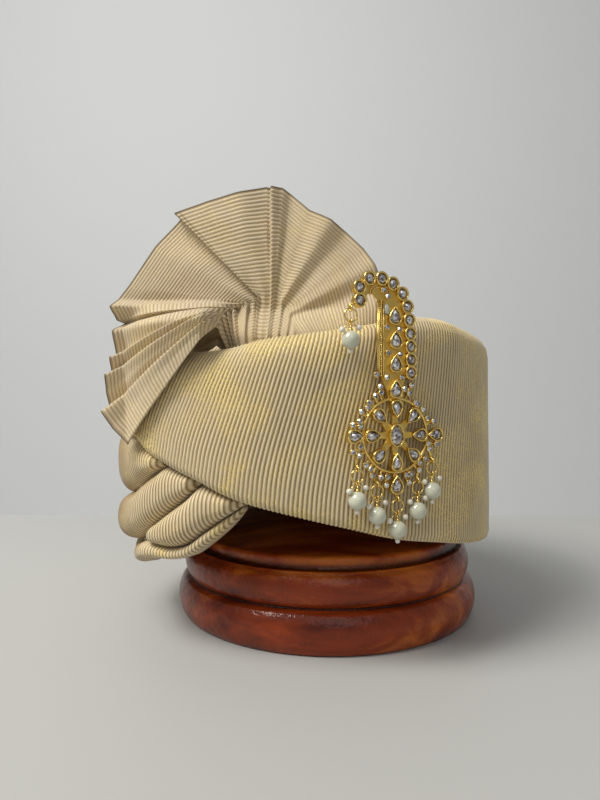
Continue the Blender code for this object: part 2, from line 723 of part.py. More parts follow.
def stem_outline():
    line = np.array(STEM_LINE) * STEM_RISE
    middle = line[:, :2] + (0.0, MEDALLION_RADIUS)
    along = np.gradient(middle, axis=0)
    side = np.stack([-along[:, 1], along[:, 0]], axis=1)
    side = side / np.hypot(side[:, 0], side[:, 1])[:, None] * line[:, 2:]
    return np.concatenate([middle + side, (middle - side)[::-1]])


def make_kalgi(gold, stone, pearl, collection, cutters):
    matrix = kalgi_place()
    added = bpy.data.collections.new("kalgi_settings")
    recesses = bpy.data.collections.new("kalgi_recesses")
    cutters.children.link(added)
    cutters.children.link(recesses)
    front = PLATE_BACK + PLATE_THICKNESS
    stem = stem_outline()
    plate = stacked("kalgi_frame", [(stem, PLATE_BACK), (stem, front)])
    frame = add_object("kalgi_frame", plate, gold, collection)
    frame.matrix_world = matrix

    # Each setting's layers start a little off the plate's own, so no two faces share a plane
    ring = torus_mesh("ring", MEDALLION_RADIUS, WIRE * 0.75, 24, 5, (0, 0, 1), (0, 0, PLATE_BACK + WIRE))
    hidden("ring", ring, added, matrix)

    def bar(name, start, end, width, low, high):
        flat = bar_outline(np.array(start), np.array(end), width)
        hidden(name, stacked(name, [(flat, low), (flat, high)]), added, matrix)

    turn = np.arange(16) * math.pi / 8
    reach = MEDALLION_RADIUS * np.where(np.arange(16) % 2 == 0, 1.0, 0.42)
    star = np.stack([reach * np.sin(turn), reach * np.cos(turn)], axis=1)
    layers = [(star, PLATE_BACK + 0.0001), (star, front - 0.0004)]
    hidden("star", stacked("star", layers), added, matrix)
    for i, share in enumerate(CLUSTERS):
        spot = np.array(share) * MEDALLION_RADIUS
        inward = spot / np.hypot(*spot) * MEDALLION_RADIUS * 0.97
        bar("link_%d" % i, inward, spot, 0.9 * ARM_WIDTH, PLATE_BACK + 0.0002, front - 0.0002)
        flat = outline("oval", CLUSTER_SIZE, CLUSTER_SIZE, 6, 0.3 * i, spot)
        layers = [(flat, PLATE_BACK + 0.00005), (flat, front + 0.0001)]
        hidden("cluster_%d" % i, stacked("cluster_%d" % i, layers), added, matrix)
    for i, side in enumerate((-1.0, 1.0)):
        bar("arm_%d" % i, (side * 0.97 * MEDALLION_RADIUS, 0.0), (side * 1.3 * MEDALLION_RADIUS, 0.0),
            ARM_WIDTH, PLATE_BACK + 0.0003, front - 0.0001)
    bar("foot_arm", (0.0, -0.97 * MEDALLION_RADIUS), (0.0, -1.3 * MEDALLION_RADIUS),
        ARM_WIDTH, PLATE_BACK + 0.0003, front - 0.0001)
    edge = -0.147 * STEM_RISE
    low_edge = MEDALLION_RADIUS + 0.19 * STEM_RISE
    high_edge = MEDALLION_RADIUS + 0.81 * STEM_RISE
    bar("beaded_edge", (edge, low_edge), (edge, high_edge), 0.0026, PLATE_BACK + 0.0002, front + 0.0008)

    for name, kind, width, height, turn, spot, sides in stone_table():
        wide = outline(kind, width + 2 * BEZEL, height + 2 * BEZEL, sides, turn, spot)
        lip = outline(kind, width + 1.6 * BEZEL, height + 1.6 * BEZEL, sides, turn, spot)
        layers = [(wide, PLATE_BACK + 0.00015), (lip, PLATE_BACK + CUP_HEIGHT)]
        hidden("cup_" + name, stacked("cup_" + name, layers), added, matrix)
        seat = PLATE_BACK + STONE_SEAT
        hole = outline(kind, width + 2 * CLEAR, height + 2 * CLEAR, sides, turn, spot)
        layers = [(hole, seat), (hole, PLATE_BACK + CUP_HEIGHT + 0.001)]
        hidden("recess_" + name, stacked("recess_" + name, layers), recesses, matrix)
        foot = outline(kind, width * 0.9, height * 0.9, sides, turn, spot)
        girdle = outline(kind, width, height, sides, turn, spot)
        table = outline(kind, width * 0.55, height * 0.55, sides, turn, spot)
        layers = [
            (foot, seat + CLEAR),
            (girdle, seat + CLEAR + 0.55 * STONE_HEIGHT),
            (table, seat + CLEAR + STONE_HEIGHT),
        ]
        cut = add_object(name, stacked(name, layers), stone, collection, math.radians(5))
        cut.matrix_world = matrix

    for i, (eye, anchor) in enumerate(eye_spots()):
        wire = torus_mesh("eye_%d" % i, EYE_RADIUS, EYE_WIRE, 10, 5, (1, 0, 0), (*eye, HANG_OFFSET))
        hidden("eye_%d" % i, wire, added, matrix)
        hold = eye + np.array([0.0, EYE_RADIUS + 0.3 * EYE_WIRE])
        bar("eye_arm_%d" % i, anchor, hold, 0.0014, PLATE_BACK + 0.0004, front + 0.0003)
        post = outline("oval", 0.0013, 0.0013, 6, 0.0, hold)
        layers = [(post, PLATE_BACK + 0.0005), (post, HANG_OFFSET + 0.0004)]
        hidden("eye_post_%d" % i, stacked("eye_post_%d" % i, layers), added, matrix)

    for name, operation, operand in (("settings", "UNION", added), ("recesses", "DIFFERENCE", recesses)):
        cut = frame.modifiers.new(name, "BOOLEAN")
        cut.operation = operation
        cut.operand_type = "COLLECTION"
        cut.collection = operand
        cut.solver = "EXACT"

    make_pin(gold, collection, matrix)
    make_pearl_drops(gold, pearl, collection, cutters, matrix)


def make_pin(gold, collection, matrix):
    """The plain pin bar between the plate's back and the cloth."""
    line = bpy.data.curves.new("brooch_pin", "CURVE")
    line.dimensions = "3D"
    line.bevel_depth = 0.5 * PIN_WIRE
    line.bevel_resolution = 1
    line.use_fill_caps = True
    track = line.splines.new("POLY")
    track.points.add(1)
    out = 0.5 * PLATE_BACK
    for point, share in zip(track.points, (0.24, 0.62)):
        point.co = (-0.02 * STEM_RISE, MEDALLION_RADIUS + share * STEM_RISE, out, 1.0)
    line.materials.append(gold)
    pin = bpy.data.objects.new("brooch_pin", line)
    collection.objects.link(pin)
    pin.matrix_world = matrix
    return pin


def make_pearl_drops(gold, pearl, collection, cutters, matrix):
    """Jump rings hang in the frame's eyes, and each holds a pearl on a wire loop."""
    ring = torus_mesh("jump_ring", JUMP_RING_RADIUS, JUMP_RING_WIRE, 14, 5, (0, 0, 1), (0, 0, 0))
    ring.materials.append(gold)
    loop_up = PEARL_RADIUS + PEARL_NECK + EYE_RADIUS
    work = bmesh.new()
    bmesh.ops.create_uvsphere(work, u_segments=10, v_segments=7, radius=PEARL_RADIUS)
    bead_mesh = bpy.data.meshes.new("pearl")
    work.to_mesh(bead_mesh)
    work.free()
    bead = hidden("pearl_bead", bead_mesh, cutters, Matrix.Identity(4))
    loop = torus_mesh("pearl_loop", EYE_RADIUS, EYE_WIRE, 10, 5, (1, 0, 0), (0.0, loop_up, 0.0))
    loop_object = hidden("pearl_loop", loop, cutters, Matrix.Identity(4))
    work = bmesh.new()
    bmesh.ops.create_cone(work, cap_ends=True, segments=6, radius1=0.00055, radius2=0.00055,
                          depth=PEARL_NECK + 0.0012)
    turn = Matrix.Rotation(math.radians(90.0), 4, "X")
    middle = PEARL_RADIUS + 0.5 * PEARL_NECK - 0.0001
    bmesh.ops.transform(work, matrix=Matrix.Translation((0.0, middle, 0.0)) @ turn, verts=work.verts)
    neck_mesh = bpy.data.meshes.new("pearl_neck")
    work.to_mesh(neck_mesh)
    work.free()
    neck_object = hidden("pearl_neck", neck_mesh, cutters, Matrix.Identity(4))
    for other in (neck_object, loop_object):
        join = bead.modifiers.new(other.name, "BOOLEAN")
        join.operation = "UNION"
        join.object = other
        join.solver = "EXACT"
    bpy.context.view_layer.update()
    graph = bpy.context.evaluated_depsgraph_get()
    drop = bpy.data.meshes.new_from_object(bead.evaluated_get(graph))
    drop.materials.clear()
    drop.materials.append(pearl)
    bead.modifiers.clear()
    for i, (eye, _) in enumerate(eye_spots()):
        ring_spot = Vector((eye[0], eye[1] - JUMP_RING_RADIUS, HANG_OFFSET))
        made = add_object("jump_ring_%d" % (i + 1), ring, gold, collection)
        made.matrix_world = matrix @ Matrix.Translation(ring_spot)
        pearl_spot = ring_spot - Vector((0.0, JUMP_RING_RADIUS + loop_up, 0.0))
        made = add_object("pearl_drop_%d" % (i + 1), drop, pearl, collection)
        made.matrix_world = matrix @ Matrix.Translation(pearl_spot)


def build():
    clear_scene()
    parts = new_collection("tied_turban_pagri")
    cutters = new_collection("cutters")
    wood = finish_of("varnished_wood", (0.19, 0.035, 0.012), 0.25)
    cloth = finish_of("corded_cloth", (0.52, 0.42, 0.28), 0.7)
    lining = finish_of("cap_cloth", (0.45, 0.37, 0.26), 0.8)
    gold = finish_of("gold", (0.80, 0.58, 0.18), 0.25, 1.0)
    stone = finish_of("cut_stone", (0.82, 0.82, 0.78), 0.05)
    pearl = finish_of("pearl", (0.86, 0.87, 0.78), 0.2)
    make_stand(wood, parts)
    make_crown_cap(lining, parts)
    make_front_band(cloth, parts)
    for roll in ROLLS:
        make_roll(*roll, cloth, parts)
    make_turra_fan(cloth, parts)
    make_kalgi(gold, stone, pearl, parts, cutters)


build()
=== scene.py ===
"""Dresses the tied turban on its stand: corded cloth, pleated fan, gold brooch and varnished wood.

Every surface is worked out on a grid. The wound cloth is a section of radius and height carried
round an oval whose radius is 1 / sqrt((cos a / long)^2 + (sin a / wide)^2) at the angle a from the
forehead, and its cords are a cosine of the distance along the cloth, 2.2 mm from cord to cord.
"""

import math

import bpy
import numpy as np
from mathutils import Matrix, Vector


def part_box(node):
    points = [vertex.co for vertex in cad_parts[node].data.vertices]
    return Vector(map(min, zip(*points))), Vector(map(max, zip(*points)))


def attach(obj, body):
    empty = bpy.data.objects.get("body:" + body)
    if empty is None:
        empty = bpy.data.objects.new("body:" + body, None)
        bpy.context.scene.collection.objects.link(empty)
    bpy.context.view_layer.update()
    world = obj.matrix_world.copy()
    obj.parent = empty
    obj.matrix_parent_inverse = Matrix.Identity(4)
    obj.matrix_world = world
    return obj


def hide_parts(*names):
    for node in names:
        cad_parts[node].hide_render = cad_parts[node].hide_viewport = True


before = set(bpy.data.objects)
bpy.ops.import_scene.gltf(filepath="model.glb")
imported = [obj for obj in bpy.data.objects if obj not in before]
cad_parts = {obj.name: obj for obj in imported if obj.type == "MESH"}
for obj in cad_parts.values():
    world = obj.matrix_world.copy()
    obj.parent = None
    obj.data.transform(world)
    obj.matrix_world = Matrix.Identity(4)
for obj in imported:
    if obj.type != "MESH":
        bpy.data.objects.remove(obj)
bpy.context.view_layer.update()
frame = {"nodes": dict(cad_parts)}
assert frame["nodes"]
bpy.context.scene.view_settings.view_transform = "Standard"

# The stand is turned in one piece from a close red-brown hardwood, stained, and varnished until
# the grain lies under a glossy, slightly rippled skin. A plain post and head plate go up inside.
STAND_RADIUS = 0.0907
BASE_HEIGHT = 0.0445
POST_TOP = 0.1615
POST_RADIUS = 0.021
HEAD_PLATE_RADIUS = 0.048
HEAD_PLATE_DEPTH = 0.016
TOP_TIER_RISE = 0.0141
TOP_TIER_EDGE = 0.0024
STAND_STEPS = 192
WOOD_DARK = (0.045, 0.0040, 0.0010, 1)
WOOD_WARM = (0.240, 0.0330, 0.0040, 1)
WOOD_ORANGE = (0.600, 0.165, 0.018, 1)
WHITE = (1, 1, 1, 1)
TIER_REACH = 0.846  # of the stand's radius
FOOT_REACH = 0.922  # of the stand's radius


def quad_mesh(name, grid, uv, round_u=False, round_v=False, caps=False, flip=False):
    """Quads over grid[i, j]. A round direction joins its last row to its first, and uv has one more there.
    Caps close the first and last rows of an open tube."""
    rows, columns = grid.shape[:2]
    i, j = np.meshgrid(
        np.arange(rows if round_u else rows - 1),
        np.arange(columns if round_v else columns - 1),
        indexing="ij",
    )
    i, j = i.ravel(), j.ravel()
    after_i, after_j = (i + 1) % rows, (j + 1) % columns
    corners = [(i, j, i, j), (after_i, j, i + 1, j), (after_i, after_j, i + 1, j + 1), (i, after_j, i, j + 1)]
    if flip:
        corners = corners[::-1]
    quads = np.stack([a * columns + b for a, b, _, _ in corners], axis=1)
    spots = np.stack([uv[c, d] for _, _, c, d in corners], axis=1)
    faces = quads.tolist()
    loops = [spots.reshape(-1, 2)]
    if caps:
        first = np.arange(columns)
        last = first + (rows - 1) * columns
        ends = (first[::-1], last) if flip else (first, last[::-1])
        for end in ends:
            faces.append(end.tolist())
            loops.append(uv[end // columns, end % columns])
    mesh = bpy.data.meshes.new(name)
    mesh.from_pydata(grid.reshape(-1, 3).tolist(), [], faces)
    layer = mesh.uv_layers.new(name="UVMap")
    layer.data.foreach_set("uv", np.concatenate(loops).astype(np.float32).ravel())
    mesh.shade_smooth()
    mesh.update()
    return mesh


def piece(name, mesh, finish, slot, *nodes):
    """A finished piece on the root body, standing for the nodes."""
    made = bpy.data.objects.new(name, mesh)
    bpy.context.scene.collection.objects.link(made)
    made.data.materials.append(finish)
    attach(made, "root")
    if nodes:
        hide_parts(*nodes)
    return made


def between(low, high, share):
    return low + (high - low) * share


def ease(share):
    share = np.clip(share, 0.0, 1.0)
    return share * share * (3.0 - 2.0 * share)


def smooth_through(keys, count):
    """A Catmull-Rom curve through the rows of keys: each point weighs four rows by cubics of its share."""
    t = np.linspace(0.0, len(keys) - 1.0, count)
    start = np.clip(np.floor(t).astype(int), 0, len(keys) - 2)
    s = (t - start).reshape((-1,) + (1,) * (keys.ndim - 1))
    near = [keys[np.clip(start + k, 0, len(keys) - 1)] for k in (-1, 0, 1, 2)]
    return 0.5 * (
        2 * near[1]
        + (near[2] - near[0]) * s
        + (2 * near[0] - 5 * near[1] + 4 * near[2] - near[3]) * s**2
        + (3 * near[1] - near[0] - 3 * near[2] + near[3]) * s**3
    )


def node_adder(tree):
    """The helper that adds a node to the tree, with its inputs linked or set and its settings named."""

    def add(kind, sockets=(), **settings):
        node = tree.nodes.new(kind)
        for key, value in settings.items():
            setattr(node, key, value)
        for key, value in dict(sockets).items():
            if hasattr(value, "is_output"):
                tree.links.new(value, node.inputs[key])
            else:
                node.inputs[key].default_value = value
        return node

    return add


def new_finish(name):
    """A material with its Principled shader and its node adder."""
    made = bpy.data.materials.new(name)
    made.use_nodes = True
    tree = made.node_tree
    return made, tree, tree.nodes["Principled BSDF"], node_adder(tree)


def ramp(add, factor, stops):
    node = add("ShaderNodeValToRGB", {"Fac": factor})
    while len(node.color_ramp.elements) < len(stops):
        node.color_ramp.elements.new(0.5)
    for element, (at, colour) in zip(node.color_ramp.elements, stops):
        element.position = at
        element.color = colour
    return node.outputs["Color"]


def scaled_place(add, place, scale):
    return add("ShaderNodeMapping", {"Vector": place, "Scale": scale}).outputs["Vector"]


def tex_noise(add, place, scale, detail, **more):
    return add("ShaderNodeTexNoise",
               {"Vector": place, "Scale": scale, "Detail": detail, **more}).outputs["Fac"]


def map_share(add, value, low, high):
    """0 to 1 as the value goes from low to high."""
    return add("ShaderNodeMapRange", {"Value": value, "From Min": low, "From Max": high}).outputs["Result"]


def mix_colours(add, factor, first, second, blend="MIX"):
    sockets = {"Factor": factor, "A": first, "B": second}
    return add("ShaderNodeMix", sockets, data_type="RGBA", blend_type=blend).outputs[2]


def stand_profile():
    """Radius and height down the outer side: domed plate, post, sloping tier, bead and two half rounds."""
    tier_edge = BASE_HEIGHT + TOP_TIER_EDGE
    tier_top = tier_edge + TOP_TIER_RISE
    share = np.linspace(0.02, 1.0, 14)
    parts = [np.stack([HEAD_PLATE_RADIUS * share, POST_TOP - HEAD_PLATE_DEPTH * 0.7 * share**2.2], axis=1)]
    parts.append(np.array([
        (HEAD_PLATE_RADIUS * 0.99, POST_TOP - HEAD_PLATE_DEPTH * 0.9),
        (HEAD_PLATE_RADIUS * 0.93, POST_TOP - HEAD_PLATE_DEPTH),
        (POST_RADIUS * 1.3, POST_TOP - HEAD_PLATE_DEPTH * 1.25),
        (POST_RADIUS, POST_TOP - HEAD_PLATE_DEPTH * 1.8),
        (POST_RADIUS, tier_top + 0.004),
        (POST_RADIUS * 1.25, tier_top),
    ]))
    share = np.linspace(0.36, 1.0, 18)
    parts.append(np.stack([TIER_REACH * STAND_RADIUS * share, tier_edge + TOP_TIER_RISE * (1.0 - share**1.7)],
                          axis=1))
    turn = np.linspace(0.25, 1.0, 6) * math.pi / 2
    parts.append(np.stack([
        STAND_RADIUS * (TIER_REACH + 0.026 * np.sin(turn)), tier_edge - 0.0026 * (1.0 - np.cos(turn))],
        axis=1))
    parts.append(np.array([
        (0.8725 * STAND_RADIUS, BASE_HEIGHT * 0.965), (0.874 * STAND_RADIUS, BASE_HEIGHT * 0.930),
        (0.880 * STAND_RADIUS, BASE_HEIGHT * 0.908), (0.890 * STAND_RADIUS, BASE_HEIGHT * 0.897),
        (0.903 * STAND_RADIUS, BASE_HEIGHT * 0.900), (0.912 * STAND_RADIUS, BASE_HEIGHT * 0.905),
        (0.919 * STAND_RADIUS, BASE_HEIGHT * 0.896), (FOOT_REACH * STAND_RADIUS, BASE_HEIGHT * 0.880)]))
    share = np.linspace(0.02, 0.97, 20)
    bulge = np.sin(math.pi * share) ** 0.6
    parts.append(np.stack([
        STAND_RADIUS * (0.925 + 0.034 * bulge), BASE_HEIGHT * between(0.868, 0.505, share)], axis=1))
    parts.append(np.array([
        (0.9215 * STAND_RADIUS, BASE_HEIGHT * 0.498), (0.9235 * STAND_RADIUS, BASE_HEIGHT * 0.485),
        (0.932 * STAND_RADIUS, BASE_HEIGHT * 0.483)]))
    share = np.linspace(0.02, 0.97, 26)
    bulge = np.sin(math.pi * np.minimum(1.0, 0.06 + share * 0.88)) ** 0.55
    parts.append(np.stack([
        STAND_RADIUS * (0.932 + 0.068 * bulge), BASE_HEIGHT * between(0.470, 0.0, share)], axis=1))
    parts.append(np.array([(0.930 * STAND_RADIUS, 0.0003), (FOOT_REACH * STAND_RADIUS, 0.0), (0.03, 0.0),
                           (0.002, 0.0)]))
    return np.concatenate(parts)


def turned(profile, steps):
    """The profile carried round the Z axis: x = r sin, y = -r cos."""
    turn = np.arange(steps) * 2 * math.pi / steps
    radius, height = profile[:, 0, None], profile[:, 1, None]
    return np.stack([radius * np.sin(turn), -radius * np.cos(turn), height + 0 * turn], axis=-1)


def wood_finish():
    """Long grain along X with darker growth lines under gloss varnish; by pointiness the colour is painted
    darker in the turned grooves and lighter on the sharp edges, as painted shade and painted highlight.
    """
    made, tree, shader, add = new_finish("varnished_hardwood")
    place = add("ShaderNodeTexCoord").outputs["Object"]
    grain = tex_noise(add, scaled_place(add, place, (9, 60, 42)), 1.6, 7.0, Roughness=0.6, Distortion=0.6)
    cloud = tex_noise(add, scaled_place(add, place, (5, 16, 26)), 1.5, 3.0)
    pore = tex_noise(add, scaled_place(add, place, (120, 1100, 900)), 1.0, 2.0)
    both = add("ShaderNodeMath", {0: grain, 1: cloud}, operation="ADD")
    shade = add("ShaderNodeMath", {0: both.outputs[0], 1: 0.5}, operation="MULTIPLY")
    colour = ramp(add, shade.outputs[0], [(0.34, WOOD_DARK), (0.52, WOOD_WARM), (0.70, WOOD_ORANGE)])
    point = add("ShaderNodeNewGeometry").outputs["Pointiness"]
    # Painted shade and highlight: the grooves darker and the sharp edges brighter than the wood's own colour.
    painted_groove_shade_and_edge_light = ramp(add, point, [(0.47, (0.25, 0.22, 0.22, 1)), (0.50, WHITE), (0.56, (1.35, 1.3, 1.25, 1))])
    tree.links.new(mix_colours(add, 1.0, colour, painted_groove_shade_and_edge_light, "MULTIPLY"), shader.inputs["Base Color"])
    fine = ramp(add, pore, [(0.3, (0.42, 0.42, 0.42, 1)), (0.7, (0.30, 0.30, 0.30, 1))])
    tree.links.new(fine, shader.inputs["Roughness"])
    ripple = tex_noise(add, place, 520.0, 2.0)
    wave = tex_noise(add, place, 120.0, 1.0)
    surface = add("ShaderNodeMath", {0: wave, 1: 1.4, 2: ripple}, operation="MULTIPLY_ADD")
    skin = add("ShaderNodeBump", {"Height": surface.outputs[0], "Strength": 0.55, "Distance": 0.0006})
    tree.links.new(skin.outputs["Normal"], shader.inputs["Normal"])
    tree.links.new(skin.outputs["Normal"], shader.inputs["Coat Normal"])
    shader.inputs["Specular IOR Level"].default_value = 0.16
    shader.inputs["Coat Weight"].default_value = 0.34
    shader.inputs["Coat Roughness"].default_value = 0.09
    return made


profile = stand_profile()
grid = turned(profile, STAND_STEPS)
round_uv = np.stack(np.meshgrid(np.arange(len(profile)), np.arange(STAND_STEPS + 1), indexing="ij"),
                    axis=-1) * 0.01
piece("turned_stand", quad_mesh("turned_stand", grid, round_uv, round_v=True, caps=True),
      wood_finish(), "varnished_wood", "stand")

# The cap is a stiff skullcap covered with plain cloth, which the long turban cloth is wound on.
# Its oval is the head's. Its dome shows from above inside the band, and it is open underneath.
TURBAN_X = -0.014
TURBAN_Y = 0.005
FOREHEAD = -18.0
HEAD_LONG = 0.098
HEAD_WIDE = 0.086
CAP_WALL = 0.003
CAP_GAP = 0.0005
WRAP_FRONT = 0.0175
WRAP_SIDE = 0.0235
TURBAN_HEIGHT = 0.136
DOME_HEIGHT = 0.048
DOME_POWER = 2.3
CAP_RIM_LEVEL = 0.176
FOREHEAD_ARCH = 0.030
CROWN_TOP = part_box("crown_cap")[1][2]
DOME_START = CROWN_TOP - DOME_HEIGHT
CORD_PITCH = 0.0022
THREAD_PITCH = 0.00052
CREAM = (0.680, 0.575, 0.385, 1)
TAN = (0.430, 0.325, 0.180, 1)
BROWN_GOLD = (0.235, 0.155, 0.062, 1)
GOLD_THREAD = (0.900, 0.730, 0.230, 1)
SELVEDGE_DARK = (0.62, 0.60, 0.55, 1)


def level(share):
    return CROWN_TOP - TURBAN_HEIGHT + TURBAN_HEIGHT * share


def oval(azimuth, half_long, half_wide):
    """Distance from the turban's centre to an oval whose long axis points at the forehead."""
    turn = np.radians(azimuth - FOREHEAD)
    return 1.0 / np.sqrt((np.cos(turn) / half_long) ** 2 + (np.sin(turn) / half_wide) ** 2)


def cap_radius(azimuth):
    return oval(azimuth, HEAD_LONG + CAP_WALL, HEAD_WIDE + CAP_WALL)


def body_radius(azimuth):
    grown = CAP_WALL + CAP_GAP
    return oval(azimuth, HEAD_LONG + grown + WRAP_FRONT, HEAD_WIDE + grown + WRAP_SIDE)


def around(azimuth, radius, height):
    """The point at an azimuth, radius and height round the turban's centre."""
    turn = np.radians(azimuth)
    turn, radius, height = np.broadcast_arrays(turn, radius, height)
    return np.stack([TURBAN_X + radius * np.sin(turn), TURBAN_Y - radius * np.cos(turn), height], axis=-1)


def cap_rim(azimuth):
    return level(CAP_RIM_LEVEL) + FOREHEAD_ARCH * np.exp(-(((azimuth - FOREHEAD) / 40.0) ** 2))


def dome_radius(azimuth, height):
    rise = np.clip((height - DOME_START) / DOME_HEIGHT, 0.0, 1.0)
    return cap_radius(azimuth) * (1.0 - rise**DOME_POWER) ** (1.0 / DOME_POWER)


def cloth_group():
    """Cords, thread, weave and gold as masks of a place in metres: X along the cloth, Y along a cord.
    Cord is cos(2 pi X / pitch). Gold dots sit in the furrows. Soft drifting patches hold more of them and,
    through Shine, lift the colour to a brighter gold: partly real gold thread and partly a painted golden
    shimmer."""
    tree = bpy.data.node_groups.new("corded_cloth_masks", "ShaderNodeTree")
    face = tree.interface
    face.new_socket("Place", in_out="INPUT", socket_type="NodeSocketVector")
    face.new_socket("Spot", in_out="INPUT", socket_type="NodeSocketVector")
    for name, value in (("Pitch", CORD_PITCH), ("Gold", 0.5), ("Contrast", 1.0)):
        face.new_socket(name, in_out="INPUT", socket_type="NodeSocketFloat").default_value = value
    face.new_socket("Color", in_out="OUTPUT", socket_type="NodeSocketColor")
    face.new_socket("Roughness", in_out="OUTPUT", socket_type="NodeSocketFloat")
    face.new_socket("Metallic", in_out="OUTPUT", socket_type="NodeSocketFloat")
    face.new_socket("Height", in_out="OUTPUT", socket_type="NodeSocketFloat")
    face.new_socket("Shine", in_out="OUTPUT", socket_type="NodeSocketFloat")
    start = tree.nodes.new("NodeGroupInput")
    end = tree.nodes.new("NodeGroupOutput")
    add = node_adder(tree)

    def calculate(operation, a, b=0.0, c=0.0):
        return add("ShaderNodeMath", {0: a, 1: b, 2: c}, operation=operation).outputs[0]

    place, spot, amount = start.outputs["Place"], start.outputs["Spot"], start.outputs["Gold"]
    parts = add("ShaderNodeSeparateXYZ", {"Vector": place}).outputs
    wander = calculate("MULTIPLY", calculate("SUBTRACT", tex_noise(add, spot, 60.0, 2.0), 0.5), 0.22)
    cords = calculate("ADD", calculate("DIVIDE", parts["X"], start.outputs["Pitch"]), wander)
    wave = calculate("MULTIPLY_ADD", calculate("COSINE", calculate("MULTIPLY", cords, 2 * math.pi)), 0.5, 0.5)
    thread = calculate("MULTIPLY", parts["Y"], 2 * math.pi / THREAD_PITCH)
    thread = calculate("ADD", thread, calculate("MULTIPLY", cords, math.pi))
    thread = calculate("MULTIPLY_ADD", calculate("SINE", thread), 0.5, 0.5)
    slub = tex_noise(add, scaled_place(add, place, (420, 60, 1)), 1.0, 3.0)
    speck = tex_noise(add, scaled_place(add, place, (900, 1500, 1)), 1.0, 1.0)
    # Painted shimmer: the drifting patches stand for where the gold threads catch the light.
    drift = tex_noise(add, spot, 26.0, 3.0, Distortion=1.2)
    painted_shimmer_patch = calculate("MULTIPLY", map_share(add, drift, 0.42, 0.66), amount)
    tree.links.new(painted_shimmer_patch, end.inputs["Shine"])
    flank = calculate("SUBTRACT", 1.0, calculate("ABSOLUTE", calculate("MULTIPLY_ADD", wave, 2.0, -0.9)))
    gold = calculate("MULTIPLY", calculate("MAXIMUM", flank, 0.25), map_share(add, speck, 0.49, 0.56))
    share = calculate("MULTIPLY_ADD", painted_shimmer_patch, 1.15, calculate("MULTIPLY", amount, 0.38))
    gold = add("ShaderNodeClamp", {"Value": calculate("MULTIPLY", gold, share)}).outputs[0]
    # Partly painted shade: the colour runs from brown-gold in the cord's furrows to cream on its ridges,
    # partly the threads' two tones and partly shade painted into the furrows; Contrast scales it.
    depth = calculate("POWER", wave, 0.75)
    depth = calculate("MULTIPLY_ADD", calculate("SUBTRACT", depth, 0.62), start.outputs["Contrast"], 0.62)
    depth = calculate("MULTIPLY_ADD", calculate("SUBTRACT", slub, 0.5), 0.30, depth)
    base = ramp(add, depth, [(0.05, BROWN_GOLD), (0.45, TAN), (0.95, CREAM)])
    tree.links.new(mix_colours(add, gold, base, GOLD_THREAD), end.inputs["Color"])
    rough = calculate("MULTIPLY_ADD", gold, -0.36, 0.76)
    tree.links.new(rough, end.inputs["Roughness"])
    tree.links.new(calculate("MULTIPLY", gold, 0.5), end.inputs["Metallic"])
    height = calculate("MULTIPLY_ADD", thread, 0.35, calculate("MULTIPLY", slub, 0.5))
    tree.links.new(height, end.inputs["Height"])
    return tree


CLOTH = cloth_group()


def cloth_finish(name, gold, contrast, tint=WHITE, gold_edge=None, rim=None, selvedge=None):
    """Corded cloth from the shared masks. In metres, gold_edge gilds a strip along a hem, rim darkens
    the first thread of the cloth's end, and selvedge draws a dark thread beside a pale one there."""
    made, tree, shader, add = new_finish(name)
    uv = add("ShaderNodeUVMap", uv_map="UVMap").outputs["UV"]
    spot = add("ShaderNodeTexCoord").outputs["Object"]
    masks = add("ShaderNodeGroup", node_tree=CLOTH)
    tree.links.new(uv, masks.inputs["Place"])
    tree.links.new(spot, masks.inputs["Spot"])
    masks.inputs["Gold"].default_value = gold
    masks.inputs["Contrast"].default_value = contrast
    if gold_edge:
        across = add("ShaderNodeSeparateXYZ", {"Vector": uv}).outputs["Y"]
        strip = add("ShaderNodeMapRange", {
            "Value": across, "From Min": gold_edge, "From Max": gold_edge + 0.0012, "To Min": 1.0,
            "To Max": gold})
        tree.links.new(strip.outputs["Result"], masks.inputs["Gold"])
    cloud = tex_noise(add, spot, 18.0, 4.0)
    tone_and_painted_shimmer = ramp(add, cloud, [(0.3, (0.93, 0.92, 0.91, 1)), (0.7, (1.06, 1.05, 1.04, 1))])
    # Painted shimmer: where Shine is high the colour is lifted to a brighter gold; the noise before it is
    # random tone.
    tone_and_painted_shimmer = mix_colours(add, masks.outputs["Shine"], tone_and_painted_shimmer, (1.10, 1.045, 0.84, 1))
    colour = mix_colours(add, 1.0, masks.outputs["Color"], tone_and_painted_shimmer, "MULTIPLY")
    colour = mix_colours(add, 1.0, colour, tint, "MULTIPLY")
    if rim:
        parts = add("ShaderNodeSeparateXYZ", {"Vector": uv}).outputs
        off_edge = add("ShaderNodeMath", {0: parts["Y"], 1: selvedge}, operation="SUBTRACT").outputs[0]
        threads = ramp(add, map_share(add, off_edge, -0.0004, 0.0022), [
            (0.0, WHITE), (0.16, SELVEDGE_DARK), (0.40, (1.25, 1.25, 1.2, 1)), (0.62, SELVEDGE_DARK),
            (0.85, WHITE)])
        lined = mix_colours(add, 1.0, colour, threads, "MULTIPLY")
        colour = mix_colours(add, map_share(add, parts["X"], 0.5 * rim, rim), (0.16, 0.12, 0.07, 1), lined)
    tree.links.new(colour, shader.inputs["Base Color"])
    tree.links.new(masks.outputs["Roughness"], shader.inputs["Roughness"])
    tree.links.new(masks.outputs["Metallic"], shader.inputs["Metallic"])
    weave = add("ShaderNodeBump", {"Height": masks.outputs["Height"], "Strength": 0.55, "Distance": 0.00022})
    tree.links.new(weave.outputs["Normal"], shader.inputs["Normal"])
    shader.inputs["Sheen Weight"].default_value = 0.18
    shader.inputs["Sheen Roughness"].default_value = 0.45
    shader.inputs["Specular IOR Level"].default_value = 0.35
    return made


